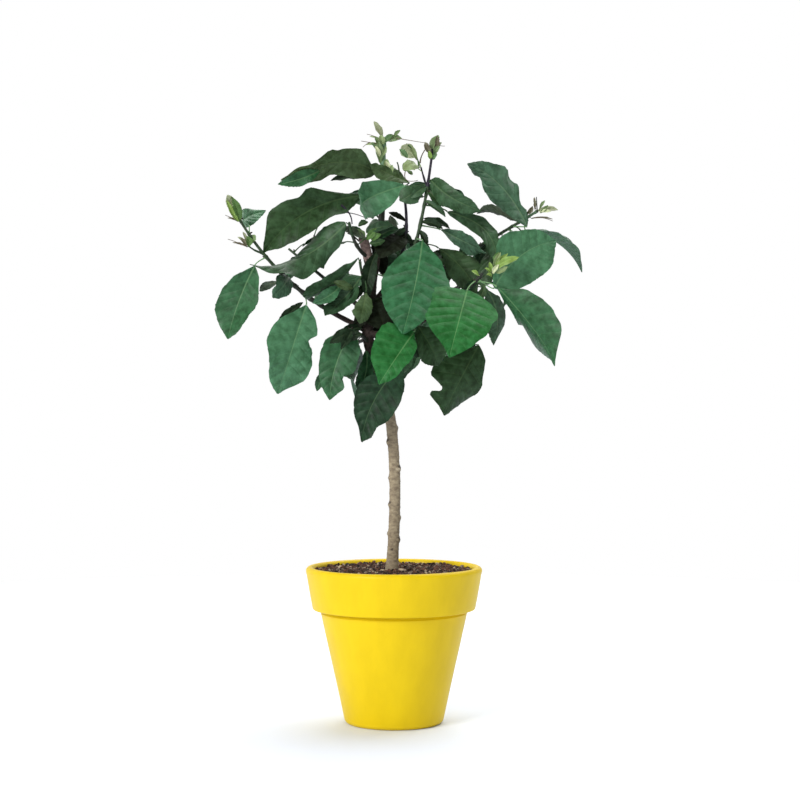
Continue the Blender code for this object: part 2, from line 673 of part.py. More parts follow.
def crosses_itself(shape):
    """Says whether two faces of a shape that share no corner meet."""
    tree = tree_of(shape)
    faces = shape[1]
    return any(not set(faces[a]) & set(faces[b]) for a, b in tree.overlap(tree))


class Crown:
    """Keeps what already stands in the crown, so that nothing grown later runs into it."""

    def __init__(self, trunk):
        self.solids = [("trunk", tree_of(trunk))]
        self.screen_points = []
        self.screen_faces = []
        self.screen = None

    def clear(self, shape, apart_from=()):
        """Says whether a shape stays clear of every solid except those of the named owners."""
        tree = tree_of(shape)
        return not any(
            tree.overlap(other) for owner, other in self.solids if owner not in apart_from
        )

    def add(self, owner, shape):
        self.solids.append((owner, tree_of(shape)))

    def add_to_screen(self, shape):
        """Adds a shown leaf to the screen that hides what grows behind it."""
        first = len(self.screen_points)
        self.screen_points += shape[0]
        self.screen_faces += [tuple(first + index for index in face) for face in shape[1]]
        self.screen = None

    def shown_share(self, points):
        """Returns the share of the points that the view point sees past the shown leaves."""
        if self.screen is None:
            self.screen = BVHTree.FromPolygons(self.screen_points, self.screen_faces)
        seen = 0
        for point in points:
            ray = point - VIEW_POINT
            hit = self.screen.ray_cast(VIEW_POINT, ray.normalized(), ray.length)
            seen += hit[0] is None
        return seen / len(points)


class Mass:
    """The stem, twigs, stalks and blades of one mass of foliage, until they are fused."""

    def __init__(self, limb):
        self.limb = limb
        self.curve = limb_curve(limb)
        self.start = limb.bough + self.gap_share()
        self.length = (self.curve(1.0) - self.curve(self.start)).length / (1.0 - self.start)
        self.shapes = []
        self.twigs = []

    def gap_share(self):
        """Returns the gap after the bough's tip as a share of the limb's length."""
        if not self.limb.bough:
            return 0.0
        step = 0.001
        speed = (self.curve(self.limb.bough + step) - self.curve(self.limb.bough)).length / step
        return GAP / speed

    def radius(self, t):
        return self.limb.radius + (self.limb.tip_radius - self.limb.radius) * t

    def seat(self, on, at):
        """Returns the place on the stem, or on a side twig, where a leaf stalk starts."""
        curve = self.twigs[on - 1] if on else self.curve
        low = 0.0 if on else self.start + ROOT_DEPTH / self.length
        return curve(min(max(at, low), 1.0 - ROOT_DEPTH / self.length))


def bough_shape(limb, grow=0.0):
    """Returns the bough of a limb, from inside the trunk to its flat tip."""
    curve = limb_curve(limb)
    tip_radius = limb.radius + (limb.tip_radius - limb.radius) * limb.bough
    return tube(curve, 0.0, limb.bough, (limb.radius + grow, tip_radius + grow), LIMB_SIDES,
                LIMB_RINGS)


def stem_shape(mass):
    radii = (mass.radius(mass.start), mass.limb.tip_radius)
    return tube(mass.curve, mass.start, 1.0, radii, LIMB_SIDES, LIMB_RINGS)


def stalk_shape(seat, pose):
    """Returns the tube of a leaf stalk alone."""
    curve = stalk_curve(seat, pose)
    return tube(curve, 0.0, 1.0, (STALK_RADIUS, STALK_RADIUS), 4, len(STALK_SHARES))


def swung(reach, swing):
    """Returns a blade's reach swung in depth, at the same length."""
    moved = reach + Vector((0.0, swing, 0.0))
    return moved.normalized() * reach.length


def shown_pose(leaf, base, reach):
    """Returns the pose of a leaf that the photograph shows, rolled about its own length."""
    face = at_right_angles(Vector(leaf.face), reach)
    face = Matrix.Rotation(math.radians(leaf.roll), 3, reach.normalized()) @ face
    return Pose(base, reach, leaf.wide, face, leaf.arch, leaf.sweep, leaf.fold, leaf.twist,
                leaf.peak)


def grow_shown_leaf(mass, leaf, crown):
    """Grows a leaf that the photograph shows, swung in depth until it is clear of the rest."""
    seat = mass.seat(leaf.on, leaf.at)
    for strict in (True, False):
        for swing in DEPTH_SWINGS:
            reach = swung(Vector(leaf.reach), swing)
            pose = shown_pose(leaf, seat + Vector(leaf.stalk), reach)
            if is_clear(mass, seat, pose, crown, strict):
                keep_leaf(mass, seat, pose, crown)
                crown.add_to_screen(blade(pose))
                return
    raise ValueError(f"no clear place for a shown leaf of {mass.limb.name}")


def is_clear(mass, seat, pose, crown, strict):
    """Says whether a leaf is clear of other masses and, if strict, of its own mass too."""
    own = mass.limb.name
    blades = own + " blades"
    if crosses_itself(leaf_shape(seat, pose)):
        return False
    stem = stalk_shape(seat, pose)
    if pose.reach.length < YOUNG_LENGTH:
        return crown.clear(stem, (own, blades)) and crown.clear(blade(pose, CLEARANCE), (own, blades))
    if not strict:
        return crown.clear(stem, (own, blades)) and crown.clear(blade(pose, CLEARANCE), (own,))
    return crown.clear(stem, (own,)) and crown.clear(blade(pose, CLEARANCE))


def keep_leaf(mass, seat, pose, crown):
    mass.shapes.append(leaf_shape(seat, pose))
    crown.add(mass.limb.name, stalk_shape(seat, pose))
    crown.add(mass.limb.name + " blades", blade(pose))


def grow_twig(mass, seat, reach, crown):
    line = straight(seat, seat + reach)
    shape = tube(line, 0.0, 1.0, (TWIG_RADIUS, STALK_RADIUS), TWIG_SIDES, TWIG_RINGS)
    mass.twigs.append(line)
    mass.shapes.append(shape)
    crown.add(mass.limb.name, shape)


def heading(angle, dip):
    """Returns the unit vector at an angle round the Z axis and a dip below the level."""
    return Vector((math.cos(angle) * math.cos(dip), math.sin(angle) * math.cos(dip), -math.sin(dip)))


def grow_side_twigs(mass, crown, draw):
    """Grows side twigs by rule, each turned from the last by the golden angle, out of sight."""
    own = mass.limb.name
    first, last = SIDE_TWIG_SHARES
    for index in range(mass.limb.side_twigs):
        seat = mass.curve(first + (last - first) * (index + 0.5) / mass.limb.side_twigs)
        for _ in range(TRIES):
            angle = index * GOLDEN_ANGLE + draw.uniform(-SIDE_TWIG_TURNS, SIDE_TWIG_TURNS)
            reach = heading(angle, draw.uniform(*SIDE_TWIG_DIPS)) * draw.uniform(*SIDE_TWIG_LENGTHS)
            line = straight(seat, seat + reach)
            room = tube(line, 0.0, 1.0, (SIDE_TWIG_ROOM, SIDE_TWIG_ROOM), TWIG_SIDES, TWIG_RINGS)
            if crown.shown_share([line(0.5), line(1.0)]) > 0.0:
                continue
            if crown.clear(room, (own,)):
                grow_twig(mass, seat, reach, crown)
                break


def leaf_by_rule(seat, angle, ease, draw):
    """Returns the pose of a leaf drawn by rule near an angle round the Z axis."""
    dip = draw.uniform(*LEAF_DIPS)
    reach = heading(angle, dip) * draw.uniform(*LEAF_LENGTHS) * ease
    stalk_angle = angle + draw.uniform(-STALK_TURNS, STALK_TURNS)
    base = seat + heading(stalk_angle, dip - STALK_RISE) * draw.uniform(*STALK_LENGTHS)
    outward = (base + reach * 0.5 - CROWN_CENTRE).normalized()
    face = at_right_angles(outward + Vector((0.0, 0.0, 0.9)), reach)
    wide = reach.length * draw.uniform(*LEAF_SLENDERNESS)
    return Pose(base, reach, wide, face, draw.uniform(*LEAF_ARCHES), draw.uniform(*LEAF_SWEEPS),
                draw.uniform(*LEAF_FOLDS), draw.uniform(*LEAF_TWISTS), draw.uniform(*LEAF_PEAKS))


def grow_more_leaves(mass, crown, draw):
    """Grows leaves by rule round the stem and twigs, behind the leaves that the photograph shows."""
    limb = mass.limb
    spots = 1 + len(mass.twigs) if limb.side_twigs else 1
    for index in range(limb.more):
        on = index % spots
        low = mass.start + STEM_BARE_SHARE if on == 0 else TWIG_BARE_SHARE
        for attempt in range(TRIES):
            seat = mass.seat(on, draw.uniform(low, 1.0))
            angle = index * GOLDEN_ANGLE + draw.uniform(-LEAF_TURNS, LEAF_TURNS)
            pose = leaf_by_rule(seat, angle, 1.0 - TRIES_SHRINK * attempt / TRIES, draw)
            if crown.shown_share(blade(pose, SHOWN_MARGIN)[0]) > SHOWN_SHARE:
                continue
            if is_clear(mass, seat, pose, crown, True):
                keep_leaf(mass, seat, pose, crown)
                break


def fuse(name, shapes, material):
    """Fuses shapes into one closed mesh by a Boolean union and drops loose scraps."""
    pieces = [finish(f"{name}_{index}", *shape, material, 30) for index, shape in enumerate(shapes)]
    body = pieces[0]
    others = bpy.data.collections.new(name)
    for piece in pieces[1:]:
        others.objects.link(piece)
    union = body.modifiers.new("union", "BOOLEAN")
    union.operation = "UNION"
    union.operand_type = "COLLECTION"
    union.collection = others
    union.solver = "EXACT"
    bpy.context.view_layer.update()
    view = bpy.context.evaluated_depsgraph_get()
    mesh = bpy.data.meshes.new_from_object(body.evaluated_get(view))
    for piece in pieces:
        bpy.data.objects.remove(piece)
    bpy.data.collections.remove(others)
    keep_largest_shell(mesh)
    return mesh


def keep_largest_shell(mesh):
    """Deletes every connected shell of a mesh except the one with the most faces."""
    shell = bmesh.new()
    shell.from_mesh(mesh)
    waiting = set(shell.faces)
    groups = []
    while waiting:
        group = [waiting.pop()]
        for face in group:
            near = {other for edge in face.edges for other in edge.link_faces} & waiting
            waiting -= near
            group += near
        groups.append(group)
    groups.sort(key=len)
    scraps = [face for group in groups[:-1] for face in group]
    bmesh.ops.delete(shell, geom=scraps, context="FACES")
    bmesh.ops.triangulate(shell, faces=shell.faces)
    shell.to_mesh(mesh)
    shell.free()


def carve(mesh, cutter_shape):
    """Cuts a shape away from a mesh and keeps the largest piece that is left."""
    material = mesh.materials[0]
    body = bpy.data.objects.new("carved", mesh)
    bpy.context.scene.collection.objects.link(body)
    cutter = finish("cutter", *cutter_shape, material, 30)
    cut = body.modifiers.new("cut", "BOOLEAN")
    cut.operation = "DIFFERENCE"
    cut.object = cutter
    cut.solver = "EXACT"
    bpy.context.view_layer.update()
    view = bpy.context.evaluated_depsgraph_get()
    carved = bpy.data.meshes.new_from_object(body.evaluated_get(view))
    for piece in (body, cutter):
        bpy.data.objects.remove(piece)
    keep_largest_shell(carved)
    return carved


def make_boughs(bark, crown):
    """Makes each bough as its own limb, cut clear of the trunk where it joins it."""
    cutter = trunk_shape(GAP)
    for limb in LIMBS:
        if not limb.bough:
            continue
        points, faces = bough_shape(limb)
        mesh = bpy.data.meshes.new(limb.name)
        mesh.from_pydata([point * MM for point in points], [], faces)
        mesh.materials.append(bark)
        place_object(limb.name + "_bough", carve(mesh, cutter), bark, 50)
        crown.add(limb.name + " bough", bough_shape(limb, CLEARANCE))


def make_foliage(leaf_green, crown):
    """Grows the shown leaves of every mass, then the others by rule, and fuses each mass."""
    draw = random.Random(SEED)
    masses = [Mass(limb) for limb in LIMBS]
    for mass in masses:
        stem = stem_shape(mass)
        mass.shapes.append(stem)
        crown.add(mass.limb.name, stem)
        for at, reach in mass.limb.twigs:
            grow_twig(mass, mass.curve(at), Vector(reach), crown)
    for mass in masses:
        for leaf in mass.limb.leaves:
            grow_shown_leaf(mass, leaf, crown)
    for mass in masses:
        grow_side_twigs(mass, crown, draw)
        grow_more_leaves(mass, crown, draw)
    cutter = trunk_shape(GAP)
    for mass in masses:
        mesh = fuse(mass.limb.name, mass.shapes, leaf_green)
        if not mass.limb.bough:
            mesh = carve(mesh, cutter)
        place_object(mass.limb.name + "_foliage", mesh, leaf_green, 30)


def main():
    for old in list(bpy.data.objects):
        bpy.data.objects.remove(old)
    make_pot()
    make_potting_mix()
    make_trunk()
    crown = Crown(trunk_shape())
    make_boughs(bpy.data.materials["grey_brown_bark"], crown)
    make_foliage(green_leaf(), crown)


main()
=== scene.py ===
"""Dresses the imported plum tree: satin yellow pot, crumbled potting mix, relief bark and veined leaves.

The growth rules below are those of the part's own source, written again with the same seed, so each
leaf lands on its solid. They work in millimetres, and meshes are turned to metres when they are made.
"""
import functools
import math
import random
from dataclasses import dataclass

import bmesh
import bpy
import numpy as np
from bpy.props import FloatProperty, FloatVectorProperty, IntProperty, PointerProperty
from mathutils import Matrix, Vector, noise
from mathutils.bvhtree import BVHTree


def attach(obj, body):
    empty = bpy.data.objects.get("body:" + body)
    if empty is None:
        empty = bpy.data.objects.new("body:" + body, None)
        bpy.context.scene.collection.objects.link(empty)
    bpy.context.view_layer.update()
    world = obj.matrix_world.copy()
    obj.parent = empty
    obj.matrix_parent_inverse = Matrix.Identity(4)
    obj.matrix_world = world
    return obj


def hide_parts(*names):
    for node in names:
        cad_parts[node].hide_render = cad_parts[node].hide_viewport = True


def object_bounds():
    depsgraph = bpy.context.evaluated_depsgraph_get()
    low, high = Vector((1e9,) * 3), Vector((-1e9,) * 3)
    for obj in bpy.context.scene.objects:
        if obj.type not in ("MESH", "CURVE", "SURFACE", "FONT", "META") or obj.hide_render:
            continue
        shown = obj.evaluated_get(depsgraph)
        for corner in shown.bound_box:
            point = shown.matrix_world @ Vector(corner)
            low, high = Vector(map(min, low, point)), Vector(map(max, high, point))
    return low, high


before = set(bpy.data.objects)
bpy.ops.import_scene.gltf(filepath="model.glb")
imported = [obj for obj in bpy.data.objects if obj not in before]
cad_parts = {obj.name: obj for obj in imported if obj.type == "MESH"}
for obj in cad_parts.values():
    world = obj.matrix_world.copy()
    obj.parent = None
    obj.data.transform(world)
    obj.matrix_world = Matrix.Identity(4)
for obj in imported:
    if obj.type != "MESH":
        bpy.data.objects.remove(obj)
CAD_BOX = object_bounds()

bl_info = {
    "name": "Potted Dwarf Plum Tree",
    "version": (1, 0, 0),
    "blender": (4, 5, 0),
    "location": "3D View > Sidebar > Plum Tree",
    "description": "Dresses a small standard plum tree in a yellow pot",
    "category": "Add Mesh",
}

MM = 0.001
GAP = 0.3
SEED = 41

# Pot, turned about the Z axis
POT_HEIGHT = 177.0
RIM_RADIUS = 100.0
RIM_WALL = 9.0
COLLAR_FOOT_RADIUS = 92.5
COLLAR_HEIGHT = 48.0
COLLAR_EDGE = 1.5
BODY_TOP_RADIUS = 84.2
BODY_FOOT_RADIUS = 55.3
FOOT_ROUNDING = 6.0
BODY_WALL = 4.0
FLOOR_THICK = 4.0

# Potting mix
MIX_TOP = 172.6

# Trunk: its lean to the side at each height, as pairs of height and offset
TRUNK_FOOT = MIX_TOP + GAP
TRUNK_TOP = 551.0
TRUNK_LEAN = (
    (TRUNK_FOOT, -2), (252, 1), (298, 0), (337, -3), (368, -9), (398, -19), (423, -27),
    (448, -30), (480, -27), (508, -26), (534, -31), (TRUNK_TOP, -35),
)
TRUNK_RADIUS = 6.3
TRUNK_TOP_RADIUS = 5.6
FORK_HEIGHT = 462.0
FORK_SWELL = 0.9
FORK_SPREAD = 34.0
FLARE = 2.2
FLARE_HEIGHT = 9.0
TRUNK_SIDES = 10
TRUNK_RING_STEP = 8.0
SCARS_RIGHT = (207, 232, 288, 334)
SCARS_LEFT = (214, 247, 277, 318)
SCAR_TURN = 0.35
SCAR_RISE = 1.7
SCAR_HALF_HEIGHT = 3.2
SCAR_HALF_TURN = 0.3

# Limbs, twigs and leaf stalks
LIMB_SIDES = 6
LIMB_RINGS = 7
STEM_TIP_RADIUS = 1.5
TWIG_RADIUS = 1.3
STALK_RADIUS = 1.0
STALK_PULL = 0.35
ROOT_DEPTH = 1.2
STALK_TAPER = 0.8
TWIG_SIDES = 4
TWIG_RINGS = 3
SIDE_TWIG_SHARES = (0.5, 0.92)
SIDE_TWIG_LENGTHS = (30.0, 55.0)
SIDE_TWIG_TURNS = 1.3
SIDE_TWIG_DIPS = (-0.8, 0.1)
SIDE_TWIG_ROOM = 2.1
STALK_SHARES = (0.0, 0.55, 1.0)
SHORT_STALK = 5.0

# Leaves
LEAF_THICK_SHARE = 0.016
LEAF_STATIONS = (0.0, 0.16, 0.38, 0.64, 0.86, 1.0)
YOUNG_STATIONS = (0.0, 0.35, 0.75, 1.0)
YOUNG_LENGTH = 34.0
LEAF_LENGTHS = (58.0, 96.0)
LEAF_SLENDERNESS = (0.46, 0.60)
GOLDEN_ANGLE = math.radians(137.5)
CLEARANCE = 0.9
TRIES = 90
TRIES_SHRINK = 0.35
LEAF_TURNS = 1.6
LEAF_DIPS = (-0.5, 1.25)
LEAF_ARCHES = (0.05, 0.16)
LEAF_SWEEPS = (-0.06, 0.06)
LEAF_FOLDS = (0.0, 0.3)
LEAF_TWISTS = (-25.0, 25.0)
LEAF_PEAKS = (0.95, 1.2)
STALK_LENGTHS = (7.0, 22.0)
STALK_TURNS = 0.6
STALK_RISE = 0.5
STEM_BARE_SHARE = 0.06
TWIG_BARE_SHARE = 0.45
DEPTH_SWINGS = (0, -6, 6, -12, 12, -18, 18, -26, 26, -34, 34, -44, 44)

# Where the photograph was taken from, so that leaves grown by rule stay behind those it shows
VIEW_POINT = Vector((6.8, -1989.0, 365.9))
SHOWN_SHARE = 0.06
SHOWN_MARGIN = 1.5
TOWARDS_VIEW = (0.0, -0.8, 0.6)
CROWN_CENTRE = Vector((0.0, 15.0, 470.0))
SKYWARD = Vector((0.0, 0.0, 0.9))
FOCAL_PIXELS = 1750.0
FRAME_PIXELS = 800.0

# Detail of the visible meshes, in millimetres unless a name says otherwise
POT_TURN_SIDES = 160
POT_SHARP = 38.0
DRAIN_HOLES = 5
DRAIN_RADIUS = 5.5
DRAIN_CIRCLE = 32.0
DRAIN_SIDES = 28

# Size across and height of each layer of lumps in the mix
MIX_LUMPS = ((24.0, 1.6), (6.0, 0.9), (2.4, 0.7))
MIX_HEAP = 1.6
MIX_HEAP_RADIUS = 16.0
MIX_RINGS = 70
CRUMB_COUNT = 2600
CRUMB_RADII = (1.1, 3.4)

BARK_SIDES = 44
BARK_STEP = 0.9
# How far ridges, plates, pores and slow swellings stand out of the bark
BARK_RISES = (0.16, 0.3, 0.4, 0.35)
BARK_STREAK = 1.1
TRUNK_SINK = 2.0
CUT_EDGE_HEIGHT = 2.0
CUT_EDGE_DEPTH = 0.5
SCAR_FACE_DROP = 1.8
SCAR_FACE_HALF_HEIGHT = 2.2
SCAR_FACE_HALF_TURN = 0.26
# Marks on the trunk: height, angle about the trunk, half a height and half a turn in radians
NODE_RING = (287.0, -0.75, 1.7, 0.8)
PRUNING_SCAR = (196.0, -1.75, 1.7, 0.26)
# Heights above which the bark lies in the crown's shade, and where the pink-grey stub starts
SHADED_FROM = 403.0
STUB_FROM = 524.0

BOUGH_SIDES = 14
BOUGH_STEP = 1.6
BOUGH_COLLAR = 1.5
BOUGH_COLLAR_LENGTH = 4.5
STEM_FINE_SIDES = 9
STEM_FINE_STEP = 3.0
SEAT_SWELL_LENGTH = 2.2
STALK_FINE_SIDES = 6

VEIN_PAIRS = 8
YOUNG_VEIN_PAIRS = 4
VEIN_FIRST = 0.09
VEIN_SPAN = 0.80
VEIN_LEAD = 0.17
VEIN_HALF = 0.55
MIDRIB_HALF = 0.85
MIDRIB_RIDGE = 0.9
MIDRIB_GROOVE = 0.5
BLADE_THICK = 0.34
EDGE_UNEVEN = 0.03
EDGE_STATIONS = (0.08, 0.22, 0.36, 0.50, 0.64, 0.78, 0.92)
QUILT_SHARE = 0.012
COLUMN_SHARES = (0.0, 0.12, 0.3, 0.5, 0.7, 0.88, 1.0)

# Spurs that grow by rule on the stems and twigs, and their leaves
SPUR_STEP = 24.0
SPUR_LENGTHS = (7.0, 20.0)
SPUR_DIPS = (-0.9, 0.2)
SPUR_ROOM = 1.4
SPUR_RADII = (1.0, 0.8)
SPUR_TRIES = 14
SPUR_LEAVES = 3
SPUR_LEAF_LENGTHS = (26.0, 48.0)
SPUR_LEAF_TURNS = 1.9
SPUR_LEAF_DIPS = (-0.7, 0.9)
SPUR_LEAF_SLENDERNESS = (0.42, 0.55)
SPUR_LEAF_ARCHES = (0.03, 0.14)
SPUR_LEAF_FOLDS = (0.05, 0.35)
SPUR_LEAF_PEAKS = (0.95, 1.15)
SPUR_STALK_LENGTHS = (3.0, 8.0)
SPUR_STALK_RISE = 0.3
CROWN_MARGIN = 3.0


@dataclass
class Leaf:
    """A leaf that the photograph shows; on is 0 for the stem and 1 and up for a side twig."""

    at: float
    reach: tuple
    wide: float
    stalk: tuple
    on: int = 0
    face: tuple = TOWARDS_VIEW
    roll: float = 0.0
    arch: float = 0.08
    sweep: float = 0.0
    fold: float = 0.12
    twist: float = 0.0
    peak: float = 1.12


@dataclass
class Pose:
    """Where a blade stands and how it is shaped, in millimetres and degrees."""

    base: Vector
    reach: Vector
    wide: float
    face: Vector
    arch: float
    sweep: float
    fold: float
    twist: float
    peak: float


@dataclass
class Limb:
    """A limb from the trunk through knee to tip; its first share is a bough, the rest a stem."""

    name: str
    foot: float
    knee: tuple
    tip: tuple
    radius: float = 2.8
    bough: float = 0.0
    twigs: tuple = ()
    leaves: tuple = ()
    side_twigs: int = 0
    more: int = 0
    bend: float = 0.0
    tip_radius: float = STEM_TIP_RADIUS


UP = (0.0, -0.25, 1.0)
UP_AND_BACK = (0.0, 0.6, 0.8)
BACK = (0.0, 0.9, 0.4)
FRONT = (0.0, -1.0, 0.15)

